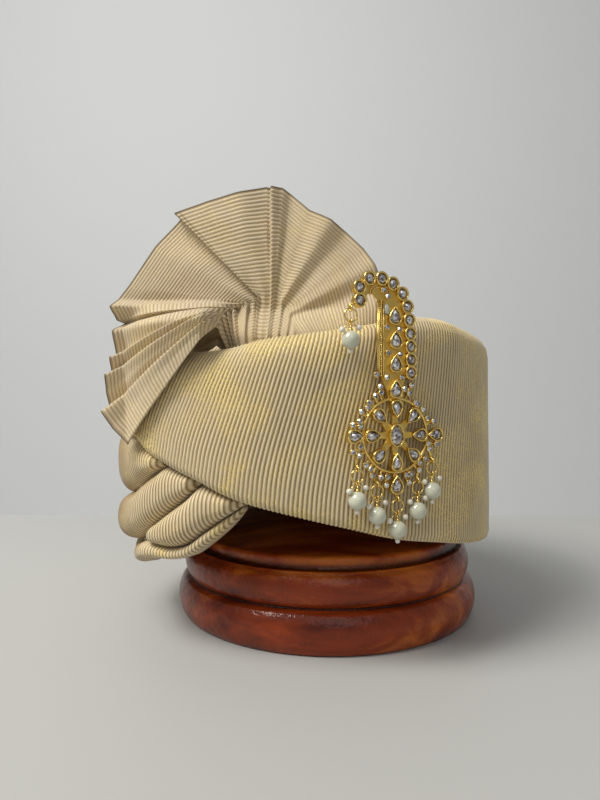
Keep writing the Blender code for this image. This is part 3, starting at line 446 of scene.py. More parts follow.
def lift_along_normal(grid, lift, round_u=False, round_v=False, outward=1.0):
    """Each point moved along the surface's normal, the cross product of its two differences."""
    du = np.roll(grid, -1, 0) - np.roll(grid, 1, 0) if round_u else np.gradient(grid, axis=0)
    dv = np.roll(grid, -1, 1) - np.roll(grid, 1, 1) if round_v else np.gradient(grid, axis=1)
    normal = np.cross(du, dv) * outward
    normal /= np.maximum(np.linalg.norm(normal, axis=-1, keepdims=True), 1e-12)
    return grid + normal * lift[..., None]


def run_length(grid, axis):
    """Distance along one direction of a grid, starting at 0."""
    step = np.linalg.norm(np.diff(grid, axis=axis), axis=-1)
    return np.concatenate([np.zeros_like(step.take([0], axis)), np.cumsum(step, axis=axis)], axis=axis)


azimuth = np.arange(180) * 2.0 - 180.0
outer = [around(azimuth, cap_radius(azimuth), between(cap_rim(azimuth), DOME_START, s)) for s in (0.0, 0.33,
                                                                                                  0.67)]
for angle in np.linspace(0.0, 89.0, 26):
    reach = math.cos(math.radians(angle)) ** (2.0 / DOME_POWER)
    rise = math.sin(math.radians(angle)) ** (2.0 / DOME_POWER)
    outer.append(around(azimuth, cap_radius(azimuth) * reach, DOME_START + DOME_HEIGHT * rise))
outer = np.array(outer)
middle = np.array([TURBAN_X, TURBAN_Y, 0.0])
inner = outer.copy()
pull = 1.0 - CAP_WALL / cap_radius(azimuth)
inner[..., :2] = middle[:2] + (outer[..., :2] - middle[:2]) * pull[None, :, None]
inner[3:, :, 2] = DOME_START + (outer[3:, :, 2] - DOME_START) * (1.0 - CAP_WALL / DOME_HEIGHT)
grid = np.concatenate([outer[::-1], inner])
cap_uv = np.concatenate([grid[..., :2], grid[:, :1, :2]], axis=1)
cap_mesh = quad_mesh("covered_cap", grid, cap_uv, round_v=True, caps=True)
piece("covered_cap", cap_mesh, cloth_finish("cap_cloth", 0.25, 0.8), "cap_cloth", "crown_cap")

# The band is the last broad turn of the wound cloth, pinned round the whole turban. It is doubled
# along its lower edge, rolls over at the top and closes onto the cap, and its cords stand almost
# upright on the brooch's side and lean over more and more towards the fan and the far ear.
HEM_THICKNESS = 0.007
BAND_SHOULDER = 0.010
BAND_LIP = 0.006
CORD_RELIEF = 0.00026
BAND_CORDS = 335
HEMS = (
    (-220, 0.120, 0.120, 0.120, 0.120, 0.120),
    (-210, 0.230, 0.230, 0.210, 0.130, 0.090),
    (-200, 0.360, 0.310, 0.170, 0.110, 0.060),
    (-190, 0.460, 0.300, 0.140, 0.100, 0.030),
    (-180, 0.530, 0.290, 0.120, 0.100, 0.015),
    (-150, 0.580, 0.290, 0.115, 0.100, 0.005),
    (-120, 0.600, 0.290, 0.110, 0.100, 0.000),
    (-90, 0.610, 0.290, 0.110, 0.105, 0.000),
    (-75, 0.605, 0.300, 0.115, 0.110, 0.005),
    (-62, 0.590, 0.330, 0.135, 0.130, 0.035),
    (-54, 0.575, 0.355, 0.162, 0.146, 0.065),
    (-48, 0.560, 0.395, 0.200, 0.170, 0.095),
    (-42, 0.510, 0.437, 0.246, 0.170, 0.115),
    (-36, 0.478, 0.472, 0.306, 0.168, 0.123),
    (-31, 0.452, 0.452, 0.353, 0.188, 0.142),
    (-25, 0.423, 0.423, 0.414, 0.244, 0.195),
    (-18, 0.379, 0.379, 0.379, 0.313, 0.276),
    (-13, 0.356, 0.356, 0.356, 0.356, 0.356),
    (-1, 0.313, 0.313, 0.313, 0.313, 0.313),
    (10, 0.273, 0.273, 0.273, 0.273, 0.273),
    (22, 0.226, 0.226, 0.226, 0.226, 0.226),
    (35, 0.193, 0.193, 0.193, 0.193, 0.193),
    (55, 0.143, 0.143, 0.143, 0.143, 0.143),
    (75, 0.118, 0.118, 0.118, 0.118, 0.118),
    (100, 0.110, 0.110, 0.110, 0.110, 0.110),
    (140, 0.120, 0.120, 0.120, 0.120, 0.120),
)
BAND_TOPS = (
    (-220, 0.965), (-180, 0.975), (-120, 0.955), (-85, 0.930), (-50, 0.900), (-18, 0.880), (-10, 0.908),
    (0, 0.926), (9, 0.943), (17, 0.963), (25, 0.990), (32, 1.000), (39, 0.999), (49, 0.983), (63, 0.970),
    (90, 0.955), (140, 0.965),
)
# How far round a cord travels from the hem to the top: azimuth of its foot, degrees to its head
CORD_LEAN = (
    (-220, -4), (-200, -10), (-180, -12), (-150, -6), (-120, 0), (-90, 6), (-70, 9), (-48, 11), (-36, 11),
    (-25, 10), (-13, 9.5), (0, 9), (15, 8), (30, 6), (45, 5), (60, 4), (90, 3), (140, -4),
)
# How wide a cord is at each azimuth, as a share of the usual width
CORD_WIDTH = ((-220, 1.05), (-60, 1.03), (-40, 0.99), (-20, 0.95), (0, 0.96), (15, 0.96), (40, 1.04),
              (140, 1.05))


def read_table(rows, column, azimuth):
    """A cubic Hermite curve through one column, with the slopes of its neighbours' differences."""
    table = np.array(rows, float)
    at, value = table[:, 0], table[:, column]
    azimuth = (np.asarray(azimuth, float) + 220.0) % 360.0 - 220.0
    slope = np.gradient(value, at)
    place = np.clip(np.searchsorted(at, azimuth, side="right") - 1, 0, len(at) - 2)
    span = at[place + 1] - at[place]
    t = (azimuth - at[place]) / span
    return (
        (1 + 2 * t) * (1 - t) ** 2 * value[place]
        + t * (1 - t) ** 2 * span * slope[place]
        + t * t * (3 - 2 * t) * value[place + 1]
        + t * t * (t - 1) * span * slope[place + 1]
    )


def pocket(azimuth):
    return ease((azimuth + 80.0) / 28.0) * ease((60.0 - azimuth) / 28.0)


def swells(azimuth, height, size, seed):
    """Soft waves of a cloth surface: six sines of azimuth and height with random phases, summed."""
    rng = np.random.default_rng(seed)
    total = np.zeros(np.broadcast(azimuth, height).shape)
    for _ in range(6):
        turns, rise, phase = rng.integers(2, 11), rng.uniform(-70, 70), rng.uniform(0, 2 * math.pi)
        total += np.sin(np.radians(azimuth) * turns + height * rise + phase)
    return total * size / 2.4


def band_section(azimuth):
    """The closed section's key points at each azimuth as radius and height, from the hem up the outside."""
    hem, top = level(read_table(HEMS, 1, azimuth)), level(read_table(BAND_TOPS, 1, azimuth))
    face, inner, room = body_radius(azimuth), cap_radius(azimuth) + CAP_GAP, pocket(azimuth)
    lip = top - BAND_LIP
    seat = np.maximum(cap_rim(azimuth) + 0.004, hem + 0.008)
    hug = dome_radius(azimuth, lip) + 3.0 * CAP_GAP
    keys = [(face - 0.0035, hem), (face - 0.0013, hem + 0.0008), (face - 0.0006, hem + 0.004),
            (face - 0.0002, hem + 0.012)]
    keys += [(face + 0.0003 * math.sin(math.pi * s), between(hem + 0.012, top - 0.018, s)) for s in
             np.linspace(0.08, 1.0, 18)]
    keys += [(face - BAND_SHOULDER * 0.03, top - BAND_SHOULDER * 1.1),
             (face - BAND_SHOULDER * 0.12, top - BAND_SHOULDER * 0.6),
             (face - BAND_SHOULDER * 0.34, top - BAND_SHOULDER * 0.22),
             (face - BAND_SHOULDER * 0.72, top),
             (between(between(hug, face, 0.62), face - 0.011, room), top + 0.0002),
             (between(between(hug, face, 0.40), inner + 0.0045, room), top - 0.001),
             (between(between(hug, face, 0.16), inner + 0.0015, room), top - 0.003)]
    for share in (1.0, 0.75, 0.45, 0.15):
        height = between(DOME_START, lip, share)
        keys.append((between(dome_radius(azimuth, height) + 3.0 * CAP_GAP, inner, room), height))
    keys += [(inner, between(seat, DOME_START, 0.5)), (inner, seat),
             (between(inner, face - HEM_THICKNESS, 0.6),
             between(seat, hem, 0.6)), (face - HEM_THICKNESS, hem), (face - 0.0052, hem - 0.0001)]
    return np.stack([np.stack(np.broadcast_arrays(r, z), axis=-1) for r, z in keys], axis=1)


samples = 4 * BAND_CORDS
even = np.linspace(-220.0, 140.0, 721)
width = np.interp(even, *np.array(CORD_WIDTH, float).T)
turned_so_far = np.concatenate([[0.0], np.cumsum(0.5 * (1 / width[1:] + 1 / width[:-1]))])
foot = np.interp(np.arange(samples) / samples, turned_so_far / turned_so_far[-1], even)
lean = np.interp(foot, *np.array(CORD_LEAN, float).T)
first = band_section(foot)
low, high = first[:, :1, 1], first[:, 22:26, 1].max(axis=1, keepdims=True)
climb = np.clip((first[..., 1] - low) / (high - low), 0.0, 1.0)
leaning = foot[:, None] + lean[:, None] * ease(climb * 0.5 + 0.25 * climb) / ease(0.75)
wrapped = (leaning + 220.0) % 360.0 - 220.0
section = np.stack([band_section(column)[np.arange(samples), k] for k, column in enumerate(wrapped.T)],
                   axis=1)
radius, height = section[..., 0], section[..., 1]
outside = np.zeros(section.shape[1])
outside[:28] = 1.0
outside[28:30] = 0.5
above_hem = height - height[:, :1]
hem_step = 0.00045 * (1.0 - ease((above_hem - 0.0078) / 0.0010)) * ease(above_hem / 0.002)
radius = radius + outside * (swells(wrapped, height, 0.00055, 4) + hem_step)
cord = np.cos(np.arange(samples) * math.pi / 2)[:, None]
grid = around(wrapped, radius, height)
grid = lift_along_normal(grid, CORD_RELIEF * cord * outside, round_u=True, round_v=True)
along = np.concatenate([np.arange(samples), [samples]]) * CORD_PITCH / 4
across = run_length(np.concatenate([grid, grid[:, :1]], axis=1), 1)
across = np.concatenate([across, across[:1]])
band_uv = np.stack([np.broadcast_to(along[:, None], across.shape), across], axis=-1)
band_mesh = quad_mesh("band_cloth", grid, band_uv, round_u=True, round_v=True)
band = piece("band_cloth", band_mesh, cloth_finish("band_cloth", 0.75, 0.85, gold_edge=0.0070),
             "corded_cloth", "front_band")

# Three slanting rolls on the left side and a thinner one along the lowest edge are the earlier
# turns of the same cloth. They puff out between deep creases and end under the band at the front.
ROLL_SINK = 0.0015
ROLL_GIRTH = 0.020
TIP_SINK = 0.010
RIM_TUCK = 0.010
CREASE_DEPTH = 0.011
THINNEST_TIP = 0.0007
CLEAR = 0.0003
ROLLS = (
    ("side_roll_upper", 1, 2, -196.0, -37.5, 0.0, 0.40),
    ("side_roll_middle", 2, 3, -207.0, -26.0, 0.0, 0.34),
    ("side_roll_lower", 3, 4, -55.0, -14.5, 0.0, 0.34),
    ("rim_roll", 4, 5, -214.0, -15.5, 1.0, 0.75),
)


def roll_grid(upper, lower, start, end, tuck):
    """A pillow section between two edges: depth (1 - |2 s - 1|^2.6)^(1/2) at a share s of its height."""
    count = int(round(math.radians(end - start) * 0.114 / CORD_PITCH)) * 4
    azimuth = np.linspace(start, end, count + 1)
    hem = level(read_table(HEMS, 1, azimuth))
    high = np.minimum(level(read_table(HEMS, upper, azimuth)) - 0.5 * CLEAR, hem - CLEAR)
    low = level(read_table(HEMS, lower, azimuth)) + 0.5 * CLEAR
    low = np.minimum(low, high - THINNEST_TIP)
    deep = cap_radius(azimuth) + CAP_GAP
    full = body_radius(azimuth) - ROLL_SINK - tuck * RIM_TUCK * ease((-38.0 - azimuth) / 35.0)
    girth = np.minimum(1.0, (high - low) / ROLL_GIRTH)
    full = full - TIP_SINK * (1.0 - ease(girth / 0.5))
    crease = np.maximum(full - CREASE_DEPTH * (0.35 + 0.65 * girth), deep + ROLL_SINK)
    share = 0.5 + 0.5 * np.cos(np.linspace(0.0, math.pi, 30)) * 0.9999
    swell = (1.0 - np.abs(2.0 * share - 1.0) ** 2.6) ** 0.5
    radius = between(crease[:, None], full[:, None], swell)
    height = between(low[:, None], high[:, None], share)
    wave = swells(azimuth[:, None], height, 0.0006, 11 + upper) * swell * girth[:, None]
    cord = np.cos(np.arange(count + 1) * math.pi / 2)[:, None]
    cord = cord * swell**0.5 * np.clip(girth, 0.25, 1.0)[:, None]
    face = lift_along_normal(around(azimuth[:, None], radius + wave, height), CORD_RELIEF * cord, outward=1.0)
    back_radius = np.stack([between(crease, deep, 0.5), deep, deep, between(crease, deep, 0.5)], axis=1)
    back_height = np.stack([low, low, high, high], axis=1)
    return np.concatenate([face, around(azimuth[:, None], back_radius, back_height)], axis=1), count


for name, upper, lower, start, end, tuck, gilt in ROLLS:
    grid, count = roll_grid(upper, lower, start, end, tuck)
    across = run_length(np.concatenate([grid, grid[:, :1]], axis=1), 1)
    along = np.broadcast_to((np.arange(count + 1) * CORD_PITCH / 4)[:, None], across.shape)
    mesh = quad_mesh(name + "_cloth", grid, np.stack([along, across], axis=-1), round_v=True, caps=True,
                     flip=True)
    roll = piece(name + "_cloth", mesh, cloth_finish(name + "_cloth", gilt, 1.0), "corded_cloth", name)

# The fan is the cloth's free end. It is pleated across, gathered into a tight root that is tucked
# behind the band over the forehead, and its selvedge opens into a wide half wheel above the crown.
FAN_RADIUS = 0.0766
FAN_LIFT = 0.0116
FAN_ROOT = 0.0135
FAN_CLOTH = 0.0010
FAN_RELIEF = 0.00016
PLEAT_DEPTH = 0.0034
FAN_STAND_OFF = 0.0053
FAN_SETBACK = 0.0026
FAN_FORWARD = 0.0844
FAN_LEAN = 0.06
FAN_SWEEP = 0.12
FAN_DRAPE_START = 0.035
FAN_TURN = 0.018
FAN_ROWS = 208
FOLD_STEPS = 7
FAN_WIDTH = 0.31
# The fold lines from the lowest left edge round to the right, as shares of the fan's radius from
# the gather: root across, bend across, bend up, rim across, rim up, how far the fold stands
# forward as a share of the pleat depth, and the number of cords from the rim to the root
PLEATS = (
    (-0.070, -0.133, -0.015, -0.758, -0.758, 0.0, 42),
    (-0.064, -0.135, 0.012, -0.860, -0.653, 0.3, 42),
    (-0.058, -0.134, 0.036, -0.934, -0.538, 1.0, 42),
    (-0.052, -0.112, 0.030, -0.905, -0.520, -1.0, 42),
    (-0.045, -0.118, 0.062, -0.916, -0.410, 0.1, 42),
    (-0.038, -0.116, 0.085, -0.913, -0.296, 1.0, 42),
    (-0.032, -0.096, 0.082, -0.890, -0.280, -0.9, 42),
    (-0.022, -0.096, 0.112, -0.884, -0.179, 0.9, 42),
    (-0.016, -0.078, 0.108, -0.862, -0.165, -0.8, 42),
    (-0.006, -0.062, 0.132, -0.872, -0.005, 0.7, 43),
    (0.004, -0.030, 0.128, -0.820, 0.060, -1.0, 44),
    (0.018, 0.000, 0.143, -0.866, 0.078, 0.5, 45),
    (0.030, 0.030, 0.166, -0.886, 0.157, 1.0, 47),
    (0.045, 0.044, 0.168, -0.840, 0.218, -0.35, 50),
    (0.058, 0.056, 0.173, -0.770, 0.304, -0.1, 52),
    (0.075, 0.074, 0.182, -0.592, 0.559, 0.25, 53),
    (0.098, 0.108, 0.204, -0.425, 0.752, -0.7, 53),
    (0.094, 0.098, 0.215, -0.455, 0.775, 0.9, 41),
    (0.112, 0.118, 0.218, -0.247, 0.858, 0.1, 41),
    (0.130, 0.146, 0.223, -0.043, 0.909, 0.35, 41),
    (0.150, 0.170, 0.229, 0.154, 0.943, 0.0, 41),
    (0.158, 0.182, 0.229, 0.178, 0.938, -0.1, 41),
    (0.168, 0.192, 0.236, 0.192, 0.944, 0.75, 41),
    (0.182, 0.208, 0.233, 0.263, 0.940, 0.2, 42),
    (0.196, 0.224, 0.224, 0.322, 0.902, -0.45, 43),
    (0.212, 0.244, 0.204, 0.441, 0.792, -0.1, 44),
    (0.228, 0.262, 0.180, 0.582, 0.722, 0.5, 45),
    (0.244, 0.280, 0.155, 0.684, 0.648, -0.3, 45),
    (0.260, 0.300, 0.126, 0.798, 0.533, 0.1, 44),
    (0.276, 0.316, 0.102, 0.870, 0.425, 0.45, 42),
    (0.292, 0.332, 0.078, 0.920, 0.310, -0.3, 40),
    (0.310, 0.350, 0.040, 0.955, 0.150, 0.5, 38),
    (0.350, 0.372, -0.110, 0.930, -0.130, -0.3, 36),
)
SELVEDGE_LINE = 17
# Short folds inside the hollow under the lowest pleat, in the same columns
TUCKED_PLEATS = (
    (-0.105, -0.150, -0.110, -0.400, -0.250, 0.2, 24),
    (-0.095, -0.148, -0.080, -0.380, -0.190, 1.1, 24),
    (-0.082, -0.144, -0.050, -0.360, -0.130, -0.9, 24),
    (-0.070, -0.138, -0.015, -0.340, -0.070, 0.7, 24),
    (-0.058, -0.128, 0.020, -0.320, -0.010, -1.0, 24),
)
GATHER_ACROSS = TURBAN_X + cap_radius(FOREHEAD) * math.sin(math.radians(FOREHEAD))
GATHER_UP = level(read_table(BAND_TOPS, 1, FOREHEAD)) + FAN_LIFT


def front_depth(across, radius_of, inset):
    """Y of the oval's front at a place across, by three rounds of azimuth = asin(offset / radius)."""
    offset = across - TURBAN_X
    azimuth = np.degrees(np.arcsin(np.clip(offset / (HEAD_LONG + WRAP_FRONT), -0.97, 0.97)))
    for _ in range(3):
        azimuth = np.degrees(np.arcsin(np.clip(offset / (radius_of(azimuth) - inset), -0.97, 0.97)))
    return TURBAN_Y - (radius_of(azimuth) - inset) * np.cos(np.radians(azimuth))


def fan_depth(across, up):
    """The root is tucked behind the band, then turns forward and hangs over the band on the left."""
    leftwards = TURBAN_X - across
    spread = TURBAN_Y - FAN_FORWARD + FAN_LEAN * (up - GATHER_UP)
    spread = spread + FAN_SWEEP * np.clip(leftwards - FAN_DRAPE_START + 0.22 * FAN_TURN, 0, None)
    standing = between(tucked_depth(across, up), spread, ease((up - GATHER_UP) / FAN_TURN + 0.33))
    over_band = np.minimum(front_depth(across, body_radius, 0.0) - FAN_STAND_OFF, spread)
    forward = ease((leftwards - FAN_DRAPE_START) / (0.72 * FAN_TURN))
    forward = forward * ease((GATHER_UP - up) / (0.89 * FAN_TURN) + 1.0)
    return between(standing, over_band, forward)


def tucked_depth(across, up):
    return front_depth(across, cap_radius, FAN_SETBACK) + 0.0 * up


def gathered(name, table, count, depth_of, depth):
    """A closed sheet over the fold lines of a table: straight between the folds in outline, and in
    depth between straight and an s-curve. Cord phase is the number of cords from the rim inwards."""
    rows = np.array(table)
    line = np.linspace(0, len(rows) - 1, (len(rows) - 1) * FOLD_STEPS + 1)
    here = np.minimum(line.astype(int), len(rows) - 2)
    share = (line - here)[:, None]
    straight = between(rows[here], rows[here + 1], share)
    eased = between(rows[here], rows[here + 1], ease(share))
    root = np.stack([straight[:, 0] * FAN_RADIUS, np.full(len(line), -FAN_ROOT)], axis=1)
    bend = straight[:, 1:3] * FAN_RADIUS
    rim = straight[:, 3:5] * FAN_RADIUS
    stand_forward = between(straight[:, 5], eased[:, 5], 0.75)[:, None] * depth
    inward = np.linspace(0.0, 1.0, count + 1)[None, :]
    reach = np.hypot(*(rim - bend).T)[:, None]
    tuck = np.hypot(*(bend - root).T)[:, None]
    walked = (reach + tuck) * (1.0 - inward)
    past_bend = ease((walked - tuck + 0.004) / 0.008)
    spread_share = np.clip((walked - tuck) / reach, -0.06, 1.0)
    upper_way = bend[:, None] + (rim - bend)[:, None] * spread_share[..., None]
    lower_way = root[:, None] + (bend - root)[:, None] * np.clip(walked / tuck, 0.0, 1.06)[..., None]
    spot = between(lower_way, upper_way, past_bend[..., None])
    fullness = 0.30 + 0.30 * np.clip(walked / tuck, 0, 1) + 0.4 * np.clip(spread_share, 0, 1)
    x = GATHER_ACROSS + spot[..., 0]
    z = GATHER_UP + spot[..., 1]
    ripple = np.sin(line[:, None] * 1.7 + walked * 160.0)
    ripple += 0.7 * np.sin(line[:, None] * 0.9 - walked * 95.0 + 1.0)
    y = depth_of(x, z) - stand_forward * fullness + 0.00045 * ripple * np.clip(spread_share, 0, 1)
    cords = straight[:, 6:7] * inward
    relief = np.cos(2 * math.pi * cords) * FAN_RELIEF * np.clip(walked / 0.03, 0.3, 1.0)
    front = np.stack([x, y - 0.5 * FAN_CLOTH, z], axis=-1)
    back = np.stack([x, y + 0.5 * FAN_CLOTH, z], axis=-1)
    front = lift_along_normal(front, relief, outward=-1.0)
    back = lift_along_normal(back, relief, outward=-1.0)
    grid = np.concatenate([front, back[:, ::-1]], axis=1)
    along = cords * CORD_PITCH
    wide = np.broadcast_to((line / line[-1] * FAN_WIDTH)[:, None], x.shape)
    uv = np.stack([np.concatenate([v, v[:, ::-1], v[:, :1]], axis=1) for v in (along, wide)], axis=-1)
    return quad_mesh(name, grid, uv, round_v=True, caps=True, flip=True)


fan_mesh = gathered("fan_cloth", PLEATS, FAN_ROWS, fan_depth, PLEAT_DEPTH)
fold_mesh = gathered("fan_inner_fold", TUCKED_PLEATS, 96, tucked_depth, 0.8 * PLEAT_DEPTH)
selvedge = SELVEDGE_LINE / (len(PLEATS) - 1) * FAN_WIDTH
# The tint (1.03, 1.04, 1.12) whitens the fan's copy of the same corded cloth: a painted whitish sheen. Its
# lower contrast softens the painted furrow shade.
fan_finish = cloth_finish("fan_cloth", 0.30, 0.45, tint=(1.03, 1.04, 1.12, 1), rim=0.0009, selvedge=selvedge)
fan = piece("fan_cloth", fan_mesh, fan_finish, "corded_cloth", "turra_fan")
fold = piece("fan_inner_fold", fold_mesh, fan_finish, "corded_cloth")

# The brooch is a cast and soldered gilt frame: a ring round a star, stones in rubbed-over collets,
# small claw-set rhinestones between them, a curled stem, and pearls hanging from jump rings. It
# stands in its own plane: u to the right, v up, n out from the band, measured in metres.
KALGI_AZIMUTH = 20.0
KALGI_LEVEL = 0.586
MEDALLION_RADIUS = 0.0168
STEM_RISE = 0.0540
WIRE = 0.0012
PLATE_BACK = 0.0022
PLATE_THICKNESS = 0.0014
CUP_HEIGHT = 0.0030
STONE_SEAT = 0.0012
STONE_HEIGHT = 0.0024
BEZEL = 0.0011
PETAL_RING = 0.0121
PEARL_RADIUS = 0.0041
HANG_OFFSET = 0.0046
JUMP_RING_RADIUS = 0.0030
JUMP_RING_WIRE = 0.0004
EYE_RADIUS = 0.0011
EYE_WIRE = 0.00042
PEARL_NECK = 0.0026
RHINESTONE = 0.00125
STEM_LINE = (
    (0.000, -0.020, 0.060), (-0.008, 0.090, 0.088), (-0.018, 0.200, 0.118), (-0.018, 0.420, 0.118),
    (-0.020, 0.630, 0.118), (-0.038, 0.770, 0.112), (-0.105, 0.880, 0.092), (-0.205, 0.930, 0.070),
    (-0.285, 0.915, 0.062), (-0.330, 0.865, 0.052),
)
RIM_STONES = (
    (0.139, 0.215), (0.139, 0.325), (0.136, 0.435), (0.131, 0.545), (0.120, 0.660), (0.103, 0.772),
    (0.054, 0.878), (-0.038, 0.955), (-0.145, 0.990), (-0.262, 0.985), (-0.355, 0.908), (-0.350, 0.800),
)
STEM_DROPS = ((-0.008, 0.078), (-0.010, 0.292), (-0.010, 0.490), (-0.018, 0.690))
# Eye that each ring hangs in and the frame's point that carries it, shares of the ring's radius
PEARL_DROPS = (
    (-1.20, -0.86, -1.18, -0.39), (-0.61, -1.29, -0.82, -0.89), (0.02, -1.72, 0.00, -1.40),
    (0.66, -1.25, 0.79, -0.81), (1.13, -0.73, 1.10, -0.32), (-1.40, 3.34, -1.13, 3.57),
)
# Rhinestones in threes, in millimetres
RHINESTONES = (
    (-14.9, 12.5), (-18.1, 10.8), (-14.1, 14.8), (-19.0, 6.5), (-18.5, 4.2), (-22.3, 5.0), (-22.3, -6.9),
    (-18.5, -4.6), (-19.0, -8.7), (-15.8, -12.8), (-13.5, -14.5), (-12.4, -17.6), (-8.2, -18.6),
    (-4.7, -18.6),
    (-5.3, -22.2), (5.3, -18.3), (7.5, -17.8), (6.5, -21.7), (12.4, -13.0), (15.5, -11.3), (12.1, -16.3),
    (17.1, -4.2), (21.7, -4.4), (17.7, -6.7), (16.7, 7.5), (20.1, 6.2), (10.2, 14.8), (14.2, 11.6),
    (11.2, 13.9), (-8.5, 22.0), (-8.0, 19.2), (-11.0, 17.9), (8.0, 22.8), (4.3, 21.0), (6.8, 19.0),
    (-6.9, 65.3), (-4.6, 62.6), (-5.1, 48.7), (1.4, 48.0), (-4.3, 37.2), (1.7, 36.7), (-10.3, 27.3),
    (-5.1, 26.2), (2.7, 26.2),
)


def kalgi_axes():
    """Where the brooch's plane touches the band, and its three directions: the normal of an oval with
    half axes a, b at the angle t has the angle atan(tan t (a / b)^2)."""
    azimuth = math.radians(KALGI_AZIMUTH)
    turn = math.radians(KALGI_AZIMUTH - FOREHEAD)
    half_long = HEAD_LONG + CAP_WALL + CAP_GAP + WRAP_FRONT
    half_wide = HEAD_WIDE + CAP_WALL + CAP_GAP + WRAP_SIDE
    facing = math.atan(math.tan(turn) * (half_long / half_wide) ** 2) + math.radians(FOREHEAD)
    reach = float(body_radius(KALGI_AZIMUTH))
    touch = np.array([TURBAN_X + reach * math.sin(azimuth), TURBAN_Y - reach * math.cos(azimuth),
                      level(KALGI_LEVEL)])
    axes = [(math.cos(facing), math.sin(facing), 0.0), (0.0, 0.0, 1.0),
            (math.sin(facing), -math.cos(facing), 0.0)]
    return touch, np.array(axes)


TOUCH, AXES = kalgi_axes()


def skins(name, shells, smooth=True):
    """One mesh of closed shells in the brooch's plane. A shell is rows of points, each row a ring, with
    its ends capped, or with its last ring joined to its first."""
    points, faces, start = [], [], 0
    for rings, joined in shells:
        rows, sides = rings.shape[:2]
        i = np.arange(rows if joined else rows - 1)[:, None] * sides + start
        far = np.roll(np.arange(rows), -1)[: len(i), None] * sides + start
        j = np.arange(sides)[None, :]
        after = (j + 1) % sides
        faces += np.stack([i + j, i + after, far + after, far + j], axis=-1).reshape(-1, 4).tolist()
        if not joined:
            faces += [(start + np.arange(sides)[::-1]).tolist(),
                      (start + (rows - 1) * sides + np.arange(sides)).tolist()]
        points.append(rings.reshape(-1, 3))
        start += rows * sides
    mesh = bpy.data.meshes.new(name)
    mesh.from_pydata((TOUCH + np.concatenate(points) @ AXES).tolist(), [], faces)
    if smooth:
        mesh.shade_smooth()
    return mesh


def outline(kind, width, height, sides, turn=0.0, centre=(0.0, 0.0)):
    """Points round an oval or a drop. An unturned drop's tip points along -v."""
    t = np.arange(sides) * 2.0 * math.pi / sides
    v = -0.5 * height * np.cos(t)
    u = 0.5 * width * np.sin(t)
    if kind == "drop":
        u = u * np.abs(np.sin(0.5 * t)) / 0.77
    cos, sin = math.cos(turn), math.sin(turn)
    return np.stack([centre[0] + u * cos - v * sin, centre[1] + u * sin + v * cos], axis=1)


def stacked(layers):
    """A shell through flat outlines at their heights off the band."""
    return np.array([np.column_stack([flat, np.full(len(flat), n)]) for flat, n in layers]), False


def tube(path, wire, sides=10, joined=False, lean=(0.0, 0.0, 1.0)):
    """A wire along a path whose plane is square to lean: ring = point + wire (cos A + sin B)."""
    path = np.array(path, float)
    ahead = np.roll(path, -1, 0) - np.roll(path, 1, 0) if joined else np.gradient(path, axis=0)
    ahead /= np.linalg.norm(ahead, axis=1, keepdims=True)
    side = np.cross(np.array(lean), ahead)
    turn = np.arange(sides) * 2 * math.pi / sides
    across = np.cos(turn)[None, :, None] * side[:, None] + np.sin(turn)[None, :, None] * np.array(lean)
    return path[:, None] + wire * across, joined


def circle(u, v, n, radius, steps=40, upright=False):
    t = np.arange(steps) * 2 * math.pi / steps
    along, zero = radius * np.sin(t), 0.0 * t
    return np.stack([u + (zero if upright else radius * np.cos(t)), v + along,
                     n + (radius * np.cos(t) if upright else zero)], axis=1)


def ball(u, v, n, radius, rows=10, sides=16):
    """A sphere with its poles along v."""
    tilt = np.linspace(0.06, math.pi - 0.06, rows)
    turn = -np.arange(sides) * 2 * math.pi / sides
    ring = np.sin(tilt)[:, None] * radius
    return np.stack([u + ring * np.cos(turn), v - np.cos(tilt)[:, None] * radius + 0 * turn,
                     n + ring * np.sin(turn)], axis=-1), False


def bar(start, end, width, low, high):
    along = np.array(end) - np.array(start)
    side = np.array([-along[1], along[0]]) * 0.5 * width / np.hypot(*along)
    flat = np.array([start - side, end - side, end + side, start + side])
    middle = flat.mean(axis=0)
    return stacked([(flat, low), (flat, between(low, high, 0.7)), (middle + (flat - middle) * 0.93, high)])


def stone_table():
    """Every set stone: name, kind, width, height, turn, centre."""
    stones = [("centre_stone", "oval", 0.0058, 0.0088, 0.0, (0.0, 0.0))]
    for i in range(8):
        angle = math.radians(90.0 - 45.0 * i)
        spot = (PETAL_RING * math.cos(angle), PETAL_RING * math.sin(angle))
        stones.append(("petal_stone_%d" % (i + 1), "drop", 0.0042, 0.0064, angle - math.pi / 2, spot))
    side = 1.24 * MEDALLION_RADIUS
    stones.append(("side_stone_left", "drop", 0.0046, 0.0064, math.pi / 2, (-side, 0.0)))
    stones.append(("side_stone_right", "drop", 0.0046, 0.0064, -math.pi / 2, (side, 0.0)))
    stones.append(("foot_stone", "drop", 0.0050, 0.0068, math.pi, (0.0, -1.33 * MEDALLION_RADIUS)))
    for i, (across, up) in enumerate(STEM_DROPS):
        spot = (across * STEM_RISE, MEDALLION_RADIUS + up * STEM_RISE)
        stones.append(("stem_drop_%d" % (i + 1), "drop", 0.0048, 0.0066, math.pi, spot))
    for i, (across, up) in enumerate(RIM_STONES):
        spot = (across * STEM_RISE, MEDALLION_RADIUS + up * STEM_RISE)
        stones.append(("rim_stone_%02d" % (i + 1), "oval", 0.0042, 0.0045, 0.0, spot))
    return stones


